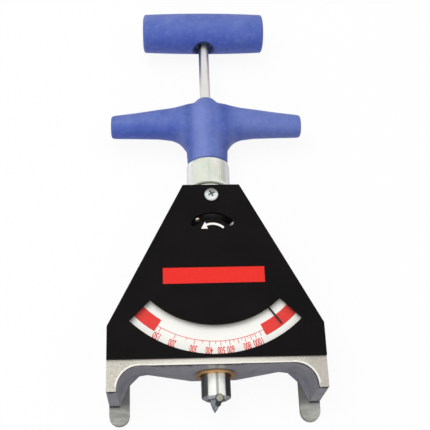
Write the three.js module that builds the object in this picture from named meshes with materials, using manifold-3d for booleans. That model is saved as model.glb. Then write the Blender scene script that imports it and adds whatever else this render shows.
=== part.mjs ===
// Belt tension gauge, lying on its back.
// X runs across the face, Y from the hook to the push handle, Z out of the face.
// The origin is on the flat back, below the lower edge of the face plate.
import * as THREE from "three";
import { mergeVertices } from "three/addons/utils/BufferGeometryUtils.js";
import Module from "manifold-3d";

const wasm = await Module();
wasm.setup();

// Gaps and steps that every piece shares
const FIT = 0.3; // seated pieces
const SHEET_FIT = 0.1; // thin sheets in a stack
const RUNNING_FIT = 0.4; // rods in their bores
const CUT = 1; // how far a cut runs past the face that it leaves
const WELD = 0.001; // vertices closer than this are one
const ROUND = 32; // sides of a large round piece
const HIDDEN_ROUND = 20; // sides of a ring inside the body
const SMALL_ROUND = 12; // sides of a screw or a pin
const ARBOR_ROUND = 24; // sides of the arbor and of the bores that turn on it
const HEX_SIDES = 6;
const CORNER_STEPS = 8; // steps in a fillet

// The face plate and the body behind it
const FACE_WIDTH = 120;
const FACE_SIDE = 18.75; // height of the upright side edges
const FACE_HEIGHT = 104.3;
const FACE_TOP_WIDTH = 33.2;
const FACE_T = 1.2;
const BODY_DEPTH = 39.5; // flat back to face front
const WALL = 3.5;
const FLANGE_T = 4; // rear flange that carries the fingers

// Legs, arch and rear fingers
const LEG_DROP = 17.2; // leg ends below the face plate
const LEG_T = 5.3;
const LEG_T_REAR = 6.1;
const ARCH_DROP = 3.3; // front edge of the arch below the face plate
const ARCH_RISE = 4.6; // how much higher the arch is at the back
const ARCH_FILLET = 12.5;
const HUMP_HALF = 12.5; // level part of the arch's rear edge round the plunger
const HUMP_DROP = 3;
const HUMP_MARGIN = 22; // from the side of the face to where the rear edge has risen
const FINGER_DROP = 28.5;
const FINGER_WIDTH = 11.5;
const FINGER_ROOT_DROP = 4.8; // where the finger's inner edge turns into the arch
const ROOT_SLOPE_X = 5.4; // the slope from the finger's root up to the arch
const ROOT_SLOPE_Y = 5.3;

// Cavity, its ribs and its posts
const CAVITY_LOW = 4;
const CAVITY_HIGH = 87.2;
const POCKET_LOW = 0; // front pocket that takes dial and lens
const RIB_T = 4;
const RIB_LOW = 53;
const RIB_HIGH = 79;
const RIB_COVER = 1; // rib left above the main spring
const COVER_T = 1.8;
const CORNER_POST_MARGIN = 9; // from the side of the face
const CORNER_POST_Y = 9;
const CORNER_POST_R = 5.6;
const CORNER_POST_TOP = 14;
const DIAL_POST_X = 26;
const DIAL_POST_R = 3;
const COVER_SCREW_X = 19;

// Window, dial, scale pivot and reset slot
const PIVOT_Y = 69.6;
const WINDOW_OUTER = 67.7;
const WINDOW_INNER = 51.2;
const WINDOW_MARGIN = 12.2; // from the side of the face to the window's corner
const LENS_MARGIN = 1.6;
const LENS_T = 0.8;
const DIAL_T = 0.8;
const DIAL_DEPTH = 4.1; // face front to dial front
const DIAL_TOP = 91;
const SLOT_R = 14.6;
const SLOT_HALF_WIDTH = 2.05;
const SLOT_HALF_ANGLE = THREE.MathUtils.degToRad(45.5);
const DIAL_SLOT_MARGIN = 1.2; // how much wider the dial's slot is on each side

// Pointer and the movement behind the dial
const REST_ANGLE = THREE.MathUtils.degToRad(36.2);
const POINTER_REACH = 62.3;
const POINTER_WIDTH = 0.9;
const POINTER_T = 0.4;
const POINTER_HUB_R = 4;
const POINTER_HUB_T = 1;
const POINTER_TAIL_R = 2.4;
const RESET_PIN_R = 1.3;
const RESET_PIN_PROUD = 0.7;
const ARBOR_R = 1.5;
const ARBOR_FOOT_R = 3.2;
const ARBOR_FOOT_T = 0.9;
const MOVEMENT_T = 1.5;
const MOVEMENT_HALF = 19.5;
const MOVEMENT_LOW = 50;
const MOVEMENT_HIGH = 84.5;
const MOVEMENT_SCREW_X = 16;
const GEAR_MODULE = 0.75;
const PINION_TEETH = 20;
const PINION_T = 3;
const PRESSURE_ANGLE = THREE.MathUtils.degToRad(20);
const BACKLASH = 0.24;
const ARM_T = 1;
const ARM_WIDTH = 3;
const WASHER_T = 0.4;
const WASHER_R = 3.4;
const CLIP_T = 0.5;
const CLIP_R = 2.9;

// Plunger axis: bush, sleeve, hook and springs
const SLEEVE_R = 8.25;
const SLEEVE_DROP = 17.8;
const SLEEVE_STROKE = 10;
const SLEEVE_FLANGE_R = 10.5;
const SLEEVE_FLANGE_T = 3;
const SLEEVE_NECK_R = 6.4;
const BUSH_R = 9.8;
const BUSH_FLANGE_R = 11.25;
const BUSH_FLANGE_T = 1.2;
const BUSH_TOP = 10.6;
const BUSH_BOSS_R = 13;
const STEM_R = 4;
const STEM_LOW = -8;
const STEM_REACH = 8; // past the spring seat
const STUD_R = 2.2;
const STUD_LENGTH = 7;
const TIP_POINT_X = -0.9;
const TIP_DROP = 24.7;
const TIP_HALF_DEPTH = 3.8;
const HOOK_PIN_R = 2.35;
const HOOK_PIN_X = 0.7;
const HOOK_PIN_DROP = 21;
const HOOK_PIN_FRONT = 34.5; // height of its round end above the back
const HOOK_TENON_R = 0.8;
const NUT_ACROSS = 16.5;
const NUT_T = 3;
const RACK_FOOT_T = 2;
const RACK_FOOT_HALF = 8;
const RACK_DEPTH = 3.6; // bar behind the pitch line
const RACK_REACH = 74.5;
const SPRING_BORE_R = 5;
const SLEEVE_SPRING_R = 7.2;
const SEAT_OVERHANG = 0.2; // spring seat wider than its spring
const SEAT_T = 3;
const SEAT_RISE = 13.7; // above the face plate's top
const SEAT_PIN_R = 1.2;
const SEAT_PIN_LENGTH = 13;

// Spring tube, collar, grip and push handle
const TUBE_WALL = 1.3;
const TUBE_SHOULDER = 1.8; // between the cavity and the tube
const TUBE_IN_GRIP = 21.2;
const LOCK_RING_WALL = 1.9;
const LOCK_RING_T = 5.8;
const COLLAR_WALL = 2.64;
const COLLAR_STANDOFF = 0.6; // above the lock ring
const COLLAR_LENGTH = 17.5;
const COLLAR_BAND = 1.6; // plain band at each end of the knurl
const KNURL_RIDGES = 64;
const KNURL_DEPTH = 0.3;
const ROD_R = 3.3;
const GRIP_HEIGHT = 46.8;
const GRIP_APEX_R = 5.3;
const GRIP_MOUTH_WALL = 1.9;
const GRIP_BARREL_WALL = 2.8;
const GRIP_ARM_REACH = 60;
const GRIP_ARM_RISE = 20.2; // above the grip's mouth
const GUIDE_R = 6;
const GUIDE_INSET = 3.9; // below the grip's apex
const GUIDE_LENGTH = 15.7;
const SET_SCREW_R = 2;
const SET_SCREW_RISE = 10.2; // above the grip's mouth
const CAP_REACH = 52; // from the grip's apex to the push handle's axis
const CAP_R = 13.3;
const CAP_HALF = 39.8;
const CAP_HOLE_R = 6.5;
const CAP_BORE_REACH = 8.9; // past the push handle's axis
const ROD_INSET = 2.5; // below the end of that bore
const INSERT_R = 6.2;
const INSERT_LENGTH = 17.2;

// Fasteners
const FACE_SCREW_INSET = 7; // below the face plate's top
const FACE_SCREW_HEAD_R = 4.3;
const FACE_SCREW_HEAD_T = 2.4;
const FACE_SCREW_R = 1.9;
const FACE_SCREW_LENGTH = 8;
const RECESS_WIDTH = 0.9;
const RECESS_LENGTH = 4.6;
const RECESS_DEPTH = 1.3;
const SMALL_SCREW_R = 1.3;
const SMALL_SCREW_HEAD_R = 2.6;
const SMALL_SCREW_HEAD_T = 1.2;
const SMALL_SCREW_LENGTH = 6;

// Shares of the body's depth, which the plunger and its spring have to fit
const AXIS_DEPTH_SHARE = 0.42;
const MAIN_SPRING_DEPTH_SHARE = 0.21;

// Levels that follow from the sizes above
const AXIS_Z = BODY_DEPTH * AXIS_DEPTH_SHARE;
const MAIN_SPRING_R = BODY_DEPTH * MAIN_SPRING_DEPTH_SHARE;
const SPRING_SEAT_R = MAIN_SPRING_R + SEAT_OVERHANG;
const RIB_TOP = AXIS_Z + MAIN_SPRING_R + RIB_COVER;
const HUMP_OUTER = FACE_WIDTH / 2 - HUMP_MARGIN;
const CORNER_POST_X = FACE_WIDTH / 2 - CORNER_POST_MARGIN;
const WINDOW_HALF_ANGLE = Math.asin((FACE_WIDTH / 2 - WINDOW_MARGIN) / WINDOW_OUTER);
const RIM_Z = BODY_DEPTH - FACE_T - FIT;
const FACE_BACK = BODY_DEPTH - FACE_T;
const DIAL_FRONT = BODY_DEPTH - DIAL_DEPTH;
const DIAL_BACK = DIAL_FRONT - DIAL_T;
const LEDGE_Z = DIAL_BACK - FIT;
const WASHER_Z = DIAL_FRONT + SHEET_FIT;
const HUB_Z = WASHER_Z + WASHER_T + SHEET_FIT;
const CLIP_Z = HUB_Z + POINTER_HUB_T + SHEET_FIT;
const MOVEMENT_Z = RIB_TOP + FIT;
const PINION_Z = MOVEMENT_Z + MOVEMENT_T + FIT;
const ARM_Z = PINION_Z + PINION_T + SHEET_FIT;
const COVER_SEAT = COVER_T + FIT;
const PITCH_R = (GEAR_MODULE * PINION_TEETH) / 2;
const RUN_R = STEM_R + RUNNING_FIT;
const SLEEVE_TOP = BUSH_TOP + FIT + SLEEVE_FLANGE_T;
const FOOT_LOW = SLEEVE_TOP + FIT;
const NUT_LOW = FOOT_LOW + RACK_FOOT_T + FIT;
const NUT_TOP = NUT_LOW + NUT_T;
const MAIN_SPRING_LOW = RIB_LOW + RIB_T + FIT;
const LOCK_RING_LOW = FACE_HEIGHT + FIT;
const COLLAR_LOW = LOCK_RING_LOW + LOCK_RING_T + COLLAR_STANDOFF;
const COLLAR_HIGH = COLLAR_LOW + COLLAR_LENGTH;
const GRIP_LOW = COLLAR_HIGH + FIT;
const GRIP_APEX = GRIP_LOW + GRIP_HEIGHT;
const GRIP_ARM_LOW = GRIP_LOW + GRIP_ARM_RISE;
const GUIDE_HIGH = GRIP_APEX - GUIDE_INSET;
const GUIDE_LOW = GUIDE_HIGH - GUIDE_LENGTH;
const SET_SCREW_Y = GRIP_LOW + SET_SCREW_RISE;
const CAP_Y = GRIP_APEX + CAP_REACH;
const CAP_BORE_HIGH = CAP_Y + CAP_BORE_REACH;
const INSERT_LOW = CAP_BORE_HIGH - FIT - INSERT_LENGTH;
const ROD_HIGH = CAP_BORE_HIGH - ROD_INSET;
const FACE_SCREW_Y = FACE_HEIGHT - FACE_SCREW_INSET;
const TUBE_LOW = CAVITY_HIGH + TUBE_SHOULDER;
const TUBE_HIGH = GRIP_LOW + TUBE_IN_GRIP;
const SEAT_LOW = FACE_HEIGHT + SEAT_RISE;
const STEM_HIGH = SEAT_LOW + STEM_REACH;
const TUBE_BORE_R = SPRING_SEAT_R + RUNNING_FIT;
const TUBE_R = TUBE_BORE_R + TUBE_WALL;
const TUBE_SEAT_R = TUBE_R + FIT;
const LOCK_RING_R = TUBE_SEAT_R + LOCK_RING_WALL;
const COLLAR_R = TUBE_SEAT_R + COLLAR_WALL;
const GRIP_MOUTH_R = TUBE_SEAT_R + GRIP_MOUTH_WALL;
const GRIP_BARREL_R = TUBE_SEAT_R + GRIP_BARREL_WALL;
const FINGER_IN = FACE_WIDTH / 2 - FINGER_WIDTH;
const LOWER_RIB_Y = RIB_LOW + RIB_T / 2;
const UPPER_RIB_Y = RIB_HIGH + RIB_T / 2;
const SEAT_PIN_Y = SEAT_LOW + SEAT_T + FIT + SEAT_PIN_R;
const COVER_SCREW_PLACES = [
  [CORNER_POST_X, CORNER_POST_Y],
  [COVER_SCREW_X, UPPER_RIB_Y],
];
const COVER_SCREW_SEAT = SHEET_FIT + SMALL_SCREW_HEAD_T;
const COVER_SCREW_END = COVER_SCREW_SEAT + SMALL_SCREW_LENGTH;
const DIAL_SCREW_SEAT = DIAL_FRONT + SHEET_FIT;
const DIAL_SCREW_END = DIAL_SCREW_SEAT - SMALL_SCREW_LENGTH;
const MOVEMENT_SCREW_SEAT = MOVEMENT_Z + MOVEMENT_T + SHEET_FIT;
const MOVEMENT_SCREW_END = MOVEMENT_SCREW_SEAT - SMALL_SCREW_LENGTH;

// Forms as shares of the sizes that they follow
const PAN_CROWN_SHARE = 0.45;
const PAN_SIDE_SHARE = 0.3;
const ADDENDUM_SHARE = 0.8;
const DEDENDUM_SHARE = 1.25;
const GUIDE_HALF_SHARE = 0.8;
const TIP_ROOT_SHARE = 0.85;
const CHAMFER_SHARE = 0.16;
const FLANK_STEPS = 3;
const GRIP_SIDES = 24;

const at = (x, y) => new THREE.Vector2(x, y);

// A closed geometry as a solid for joining and cutting
function solid(geometry) {
  const bare = new THREE.BufferGeometry();
  bare.setAttribute("position", geometry.getAttribute("position"));
  bare.setIndex(geometry.index);
  const merged = mergeVertices(bare, WELD);
  const mesh = new wasm.Mesh({
    numProp: 3,
    vertProperties: merged.attributes.position.array,
    triVerts: new Uint32Array(merged.index.array),
  });
  return new wasm.Manifold(mesh);
}

// The solid's surface as a geometry
function surface(body) {
  const mesh = body.getMesh();
  const geometry = new THREE.BufferGeometry();
  geometry.setAttribute("position", new THREE.BufferAttribute(mesh.vertProperties, 3));
  geometry.setIndex(new THREE.BufferAttribute(mesh.triVerts, 1));
  const flat = geometry.toNonIndexed();
  flat.computeVertexNormals();
  return flat;
}

// A sheet with the given outline between two heights
function sheet(outline, low, high) {
  const settings = { depth: high - low, bevelEnabled: false };
  return solid(new THREE.ExtrudeGeometry(new THREE.Shape(outline), settings).translate(0, 0, low));
}

function box(left, right, front, back, low, high) {
  const geometry = new THREE.BoxGeometry(right - left, back - front, high - low);
  return solid(geometry.translate((left + right) / 2, (front + back) / 2, (low + high) / 2));
}

// A round bar along Z
function post(radius, x, y, low, high, sides = SMALL_ROUND) {
  const geometry = new THREE.CylinderGeometry(radius, radius, high - low, sides);
  return solid(geometry.rotateX(Math.PI / 2).translate(x, y, (low + high) / 2));
}

// A round bar on the plunger axis
function bar(radius, low, high, sides = ROUND) {
  const geometry = new THREE.CylinderGeometry(radius, radius, high - low, sides);
  return solid(geometry.translate(0, (low + high) / 2, AXIS_Z));
}

// A turned piece on the plunger axis: the profile's points are radius and height
function turned(profile, sides = ROUND) {
  return solid(new THREE.LatheGeometry(profile, sides).translate(0, 0, AXIS_Z));
}

function ring(inner, outer, low, high, sides = HIDDEN_ROUND) {
  const profile = [at(inner, low), at(outer, low), at(outer, high), at(inner, high), at(inner, low)];
  return turned(profile, sides);
}

// Outlines with the same number of points, one behind the other, as a closed solid
function loft(loops) {
  const count = loops[0].length;
  const positions = loops.flat().flatMap((point) => point.toArray());
  const index = [];
  for (let loop = 0; loop < loops.length - 1; loop++) {
    for (let i = 0; i < count; i++) {
      const a = loop * count + i;
      const b = loop * count + ((i + 1) % count);
      index.push(a, b, b + count, a, b + count, a + count);
    }
  }
  const last = (loops.length - 1) * count;
  for (const [a, b, c] of loopTriangles(loops[0])) index.push(a, c, b);
  for (const [a, b, c] of loopTriangles(loops[loops.length - 1])) index.push(last + a, last + b, last + c);
  const geometry = new THREE.BufferGeometry();
  geometry.setAttribute("position", new THREE.Float32BufferAttribute(positions, 3));
  geometry.setIndex(index);
  return solid(geometry);
}

// Triangles of a flat loop, in the loop's own order of points
function loopTriangles(loop) {
  const normal = new THREE.Vector3();
  for (let i = 0; i < loop.length; i++) {
    normal.add(new THREE.Vector3().crossVectors(loop[i], loop[(i + 1) % loop.length]));
  }
  normal.normalize();
  const turn = new THREE.Quaternion().setFromUnitVectors(normal, new THREE.Vector3(0, 0, 1));
  const flat = loop.map((point) => point.clone().applyQuaternion(turn));
  return THREE.ShapeUtils.triangulateShape(flat.map((point) => at(point.x, point.y)), []);
}

// A convex outline moved inwards by the same distance on every side
function inset(outline, distance) {
  return outline.map((point, i) => {
    const before = outline[(i + outline.length - 1) % outline.length];
    const after = outline[(i + 1) % outline.length];
    const into = point.clone().sub(before).normalize();
    const out = after.clone().sub(point).normalize();
    const shift = Math.tan(into.angleTo(out) / 2) * distance;
    return at(
      point.x - into.y * distance - into.x * shift,
      point.y + into.x * distance - into.y * shift,
    );
  });
}

// Points of an arc, both ends included
function arc(x, y, radius, from, to, steps = CORNER_STEPS) {
  return Array.from({ length: steps + 1 }, (_, i) => {
    const angle = from + ((to - from) * i) / steps;
    return at(x + radius * Math.cos(angle), y + radius * Math.sin(angle));
  });
}

// A band round the pivot, with square or round ends, centred on a direction
function band(inner, outer, middle, half, roundEnds = false) {
  const start = middle - half;
  const end = middle + half;
  const mean = (inner + outer) / 2;
  const radius = (outer - inner) / 2;
  const tip = (angle, from) => {
    const x = mean * Math.cos(angle);
    const y = PIVOT_Y + mean * Math.sin(angle);
    return arc(x, y, radius, from, from + Math.PI).slice(1, -1);
  };
  return [
    ...arc(0, PIVOT_Y, outer, start, end, ROUND),
    ...(roundEnds ? tip(end, end) : []),
    ...arc(0, PIVOT_Y, inner, end, start, ROUND),
    ...(roundEnds ? tip(start, start + Math.PI) : []),
  ];
}

const UP = Math.PI / 2;
const DOWN = -Math.PI / 2;

// The outline of face and body, from a lower edge up, counterclockwise
function house(low, half = FACE_WIDTH / 2) {
  return [
    at(half, low),
    at(half, FACE_SIDE),
    at(half - (FACE_WIDTH - FACE_TOP_WIDTH) / 2, FACE_HEIGHT),
    at((FACE_WIDTH - FACE_TOP_WIDTH) / 2 - half, FACE_HEIGHT),
    at(-half, FACE_SIDE),
    at(-half, low),
  ];
}

// The outline cut off at a height
function lowered(outline, top) {
  const [a, b, c, d, e, f] = outline;
  const share = (top - b.y) / (c.y - b.y);
  return [a, b, b.clone().lerp(c, share), e.clone().lerp(d, share), e, f];
}

// The arch between the legs, at a height above the back
function archLoop(legInner, archY, humpY, z) {
  const foot = -LEG_DROP - CUT;
  const centreX = legInner - ARCH_FILLET;
  const centreY = archY - ARCH_FILLET;
  const points = [
    at(legInner, foot),
    ...arc(centreX, centreY, ARCH_FILLET, 0, Math.PI / 2),
    at(HUMP_OUTER, archY),
    at(HUMP_HALF, humpY),
    at(-HUMP_HALF, humpY),
    at(-HUMP_OUTER, archY),
    ...arc(-centreX, centreY, ARCH_FILLET, Math.PI / 2, Math.PI),
    at(-legInner, foot),
  ];
  return points.map((point) => new THREE.Vector3(point.x, point.y, z));
}

function yokeBody() {
  const block = sheet(house(-LEG_DROP), 0, RIM_Z);
  const half = FACE_WIDTH / 2;
  const arch = loft([
    archLoop(half - LEG_T_REAR, ARCH_RISE - ARCH_DROP, -HUMP_DROP, -CUT),
    archLoop(half - LEG_T, -ARCH_DROP, -ARCH_DROP, RIM_Z + CUT),
  ]);
  const fingerR = FINGER_WIDTH / 2;
  const fingerX = half - fingerR;
  const fingerY = fingerR - FINGER_DROP;
  const [, sideRight, topRight, topLeft, sideLeft] = house(POCKET_LOW);
  const flange = sheet(
    [
      sideRight,
      topRight,
      topLeft,
      sideLeft,
      ...arc(-fingerX, fingerY, fingerR, Math.PI, 2 * Math.PI),
      at(-FINGER_IN, -FINGER_ROOT_DROP),
      at(ROOT_SLOPE_X - FINGER_IN, ROOT_SLOPE_Y - FINGER_ROOT_DROP),
      at(-HUMP_OUTER, ARCH_RISE - ARCH_DROP),
      at(-HUMP_HALF, -HUMP_DROP),
      at(HUMP_HALF, -HUMP_DROP),
      at(HUMP_OUTER, ARCH_RISE - ARCH_DROP),
      at(FINGER_IN - ROOT_SLOPE_X, ROOT_SLOPE_Y - FINGER_ROOT_DROP),
      at(FINGER_IN, -FINGER_ROOT_DROP),
      ...arc(fingerX, fingerY, fingerR, Math.PI, 2 * Math.PI),
    ],
    0,
    FLANGE_T,
  );
  const cavity = lowered(inset(house(CAVITY_LOW - WALL), WALL), CAVITY_HIGH);
  const pocket = lowered(inset(house(POCKET_LOW - WALL), WALL), DIAL_TOP + FIT);
  let body = block.subtract(arch).add(flange);
  body = body.subtract(sheet(cavity, -CUT, LEDGE_Z + CUT));
  body = body.subtract(sheet(pocket, LEDGE_Z, RIM_Z + CUT));
  const web = box(-half, half, RIB_LOW, RIB_LOW + RIB_T, COVER_SEAT, RIB_TOP);
  const upperWeb = box(-half, half, RIB_HIGH, RIB_HIGH + RIB_T, COVER_SEAT, RIB_TOP);
  const inside = sheet(lowered(inset(house(-WALL), WALL / 2), CAVITY_HIGH), 0, RIM_Z);
  body = body.add(web.add(upperWeb).intersect(inside));
  for (const side of [-1, 1]) {
    const cornerX = side * CORNER_POST_X;
    const dialX = side * DIAL_POST_X;
    body = body.add(post(CORNER_POST_R, cornerX, CORNER_POST_Y, COVER_SEAT, CORNER_POST_TOP));
    body = body.add(post(DIAL_POST_R, dialX, LOWER_RIB_Y, COVER_SEAT, LEDGE_Z));
    for (const [x, y] of COVER_SCREW_PLACES) {
      body = body.subtract(screwHole(side * x, y, COVER_SEAT, COVER_SCREW_END));
    }
    body = body.subtract(screwHole(dialX, LOWER_RIB_Y, DIAL_SCREW_END, LEDGE_Z));
    for (const y of [LOWER_RIB_Y, UPPER_RIB_Y]) {
      body = body.subtract(screwHole(side * MOVEMENT_SCREW_X, y, MOVEMENT_SCREW_END, RIB_TOP));
    }
  }
  const saddleR = MAIN_SPRING_R + RUNNING_FIT;
  body = body.add(bar(BUSH_BOSS_R, POCKET_LOW, BUSH_TOP - FIT));
  body = body.subtract(bar(BUSH_R + FIT, -LEG_DROP, BUSH_TOP + CUT));
  body = body.subtract(bar(RUN_R, RIB_LOW - CUT, RIB_LOW + RIB_T + CUT));
  body = body.subtract(bar(saddleR, RIB_HIGH - CUT, TUBE_LOW));
  body = body.subtract(
    box(-saddleR, saddleR, RIB_HIGH - CUT, RIB_HIGH + RIB_T + CUT, AXIS_Z, RIB_TOP + CUT),
  );
  body = body.subtract(bar(TUBE_SEAT_R, TUBE_LOW - FIT, FACE_HEIGHT + CUT));
  const faceScrewEnd = BODY_DEPTH - FACE_SCREW_LENGTH - CUT;
  return body.subtract(post(FACE_SCREW_R + FIT, 0, FACE_SCREW_Y, faceScrewEnd, RIM_Z + CUT));
}

// The hole for a small screw between its blind end and its mouth
function screwHole(x, y, low, high) {
  return post(SMALL_SCREW_R + FIT, x, y, low - CUT, high + CUT);
}

// The hole for the arbor through a piece between two heights
function arborBore(y, low, high) {
  return post(ARBOR_R + FIT, 0, y, low - CUT, high + CUT, ARBOR_ROUND);
}

// The flat cover that closes the cavity from behind
function backCover() {
  const outline = lowered(inset(house(CAVITY_LOW - WALL), WALL + FIT), CAVITY_HIGH - FIT);
  let cover = sheet(outline, 0, COVER_T);
  for (const side of [-1, 1]) {
    const holeR = SMALL_SCREW_HEAD_R + FIT;
    for (const [x, y] of COVER_SCREW_PLACES) {
      cover = cover.subtract(post(holeR, side * x, y, -CUT, COVER_SCREW_SEAT + SHEET_FIT));
      cover = cover.subtract(screwHole(side * x, y, 0, COVER_T));
    }
  }
  return cover;
}

// A cross recess that opens at a height, along a direction of 1 or -1
function crossRecess(length, width, mouth, depth, direction) {
  const low = Math.min(mouth - direction * depth, mouth + direction * CUT);
  const high = Math.max(mouth - direction * depth, mouth + direction * CUT);
  const along = box(-length / 2, length / 2, -width / 2, width / 2, low, high);
  return along.add(box(-width / 2, width / 2, -length / 2, length / 2, low, high));
}

// A small screw whose head rests on a seat: direction 1 has its head on top, -1 below
function smallScrew(seat, direction) {
  const far = seat + direction * SMALL_SCREW_HEAD_T;
  const end = seat - direction * SMALL_SCREW_LENGTH;
  const head = post(SMALL_SCREW_HEAD_R, 0, 0, Math.min(seat, far), Math.max(seat, far));
  const shank = post(SMALL_SCREW_R, 0, 0, Math.min(far, end), Math.max(far, end));
  const depth = SMALL_SCREW_HEAD_T / 2;
  const recess = crossRecess(SMALL_SCREW_HEAD_R, SMALL_SCREW_HEAD_R / 4, far, depth, direction);
  return head.add(shank).subtract(recess);
}

// The pan-headed screw of the face plate
function faceScrew() {
  const seat = BODY_DEPTH + SHEET_FIT;
  const crown = FACE_SCREW_HEAD_R * PAN_CROWN_SHARE;
  const side = FACE_SCREW_HEAD_T * PAN_SIDE_SHARE;
  const profile = [at(0, 0), at(FACE_SCREW_HEAD_R, 0)];
  for (const point of arc(0, 0, 1, 0, UP, CORNER_STEPS / 2)) {
    const radius = crown + (FACE_SCREW_HEAD_R - crown) * point.x;
    profile.push(at(radius, side + (FACE_SCREW_HEAD_T - side) * point.y));
  }
  profile.push(at(0, FACE_SCREW_HEAD_T));
  const head = new THREE.LatheGeometry(profile, HIDDEN_ROUND).rotateX(UP).translate(0, 0, seat);
  const shank = post(FACE_SCREW_R, 0, 0, BODY_DEPTH - FACE_SCREW_LENGTH, seat + CUT);
  const mouth = seat + FACE_SCREW_HEAD_T;
  const recess = crossRecess(RECESS_LENGTH, RECESS_WIDTH, mouth, RECESS_DEPTH, 1);
  return solid(head).add(shank).subtract(recess);
}

function facePlate() {
  let plate = sheet(house(0), FACE_BACK, BODY_DEPTH);
  const window = band(WINDOW_INNER, WINDOW_OUTER, DOWN, WINDOW_HALF_ANGLE);
  const slot = band(SLOT_R - SLOT_HALF_WIDTH, SLOT_R + SLOT_HALF_WIDTH, UP, SLOT_HALF_ANGLE, true);
  plate = plate.subtract(sheet(window, FACE_BACK - CUT, BODY_DEPTH + CUT));
  plate = plate.subtract(sheet(slot, FACE_BACK - CUT, BODY_DEPTH + CUT));
  const hole = post(FACE_SCREW_R + FIT, 0, FACE_SCREW_Y, FACE_BACK - CUT, BODY_DEPTH + CUT);
  return plate.subtract(hole);
}

function windowLens() {
  const half = WINDOW_HALF_ANGLE + LENS_MARGIN / WINDOW_INNER;
  const outline = band(WINDOW_INNER - LENS_MARGIN, WINDOW_OUTER + LENS_MARGIN, DOWN, half);
  const top = FACE_BACK - SHEET_FIT;
  return sheet(outline, top - LENS_T, top);
}

function dialPlate() {
  const outline = lowered(inset(house(POCKET_LOW - WALL), WALL + FIT), DIAL_TOP);
  let dial = sheet(outline, DIAL_BACK, DIAL_FRONT);
  const clear = SLOT_HALF_WIDTH + DIAL_SLOT_MARGIN;
  const slot = band(SLOT_R - clear, SLOT_R + clear, UP, SLOT_HALF_ANGLE, true);
  dial = dial.subtract(sheet(slot, DIAL_BACK - CUT, DIAL_FRONT + CUT));
  dial = dial.subtract(arborBore(PIVOT_Y, DIAL_BACK, DIAL_FRONT));
  for (const side of [-1, 1]) {
    dial = dial.subtract(screwHole(side * DIAL_POST_X, LOWER_RIB_Y, DIAL_BACK, DIAL_FRONT));
  }
  return dial;
}

function movementPlate() {
  const top = MOVEMENT_Z + MOVEMENT_T;
  let plate = box(
    -MOVEMENT_HALF, MOVEMENT_HALF, MOVEMENT_LOW, MOVEMENT_HIGH, MOVEMENT_Z, top,
  );
  plate = plate.subtract(arborBore(PIVOT_Y, MOVEMENT_Z, top));
  for (const x of [-MOVEMENT_SCREW_X, MOVEMENT_SCREW_X]) {
    for (const y of [LOWER_RIB_Y, UPPER_RIB_Y]) {
      plate = plate.subtract(screwHole(x, y, MOVEMENT_Z, top));
    }
  }
  return plate;
}

// The fixed pin on which pinion and pointer turn: its foot is under the movement plate
function pointerArbor() {
  const footTop = MOVEMENT_Z - SHEET_FIT;
  const foot = post(ARBOR_FOOT_R, 0, PIVOT_Y, footTop - ARBOR_FOOT_T, footTop, ARBOR_ROUND);
  const top = CLIP_Z + CLIP_T + SHEET_FIT;
  const shaft = post(ARBOR_R, 0, PIVOT_Y, footTop - ARBOR_FOOT_T, top, ARBOR_ROUND);
  return foot.add(shaft);
}

// One flank of a gear tooth as radius and angle, from root to tip
function flank(pitchR, baseR, tipR, rootR, halfTooth) {
  const roll = (radius) => Math.sqrt(Math.max((radius / baseR) ** 2 - 1, 0));
  const spread = (radius) => roll(radius) - Math.atan(roll(radius));
  const start = Math.max(baseR, rootR);
  const points = [[rootR, halfTooth + spread(pitchR) - spread(start)]];
  for (let i = 0; i <= FLANK_STEPS; i++) {
    const radius = start + ((tipR - start) * i) / FLANK_STEPS;
    points.push([radius, halfTooth + spread(pitchR) - spread(radius)]);
  }
  return points;
}

function pinion() {
  const tipR = PITCH_R + GEAR_MODULE * ADDENDUM_SHARE;
  const rootR = PITCH_R - GEAR_MODULE * DEDENDUM_SHARE;
  const baseR = PITCH_R * Math.cos(PRESSURE_ANGLE);
  const halfTooth = Math.PI / (2 * PINION_TEETH) - BACKLASH / (2 * PITCH_R);
  const side = flank(PITCH_R, baseR, tipR, rootR, halfTooth);
  const outline = [];
  for (let tooth = 0; tooth < PINION_TEETH; tooth++) {
    const middle = Math.PI + (tooth * 2 * Math.PI) / PINION_TEETH;
    for (const [radius, angle] of side) {
      outline.push(at(radius * Math.cos(middle - angle), radius * Math.sin(middle - angle)));
    }
    for (const [radius, angle] of [...side].reverse()) {
      outline.push(at(radius * Math.cos(middle + angle), radius * Math.sin(middle + angle)));
    }
  }
  const wheel = sheet(outline, PINION_Z, PINION_Z + PINION_T);
  return wheel.subtract(arborBore(0, PINION_Z, PINION_Z + PINION_T));
}

// The arm that the pinion turns against the reset pin's lower end
function driveArm() {
  const hub = post(POINTER_HUB_R, 0, 0, ARM_Z, ARM_Z + ARM_T, ROUND);
  const edge = RESET_PIN_R + FIT;
  const arm = box(-edge - ARM_WIDTH, -edge, 0, SLOT_R + RESET_PIN_R, ARM_Z, ARM_Z + ARM_T);
  const bore = arborBore(0, ARM_Z, ARM_Z + ARM_T);
  return hub.add(arm).subtract(bore);
}

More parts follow.
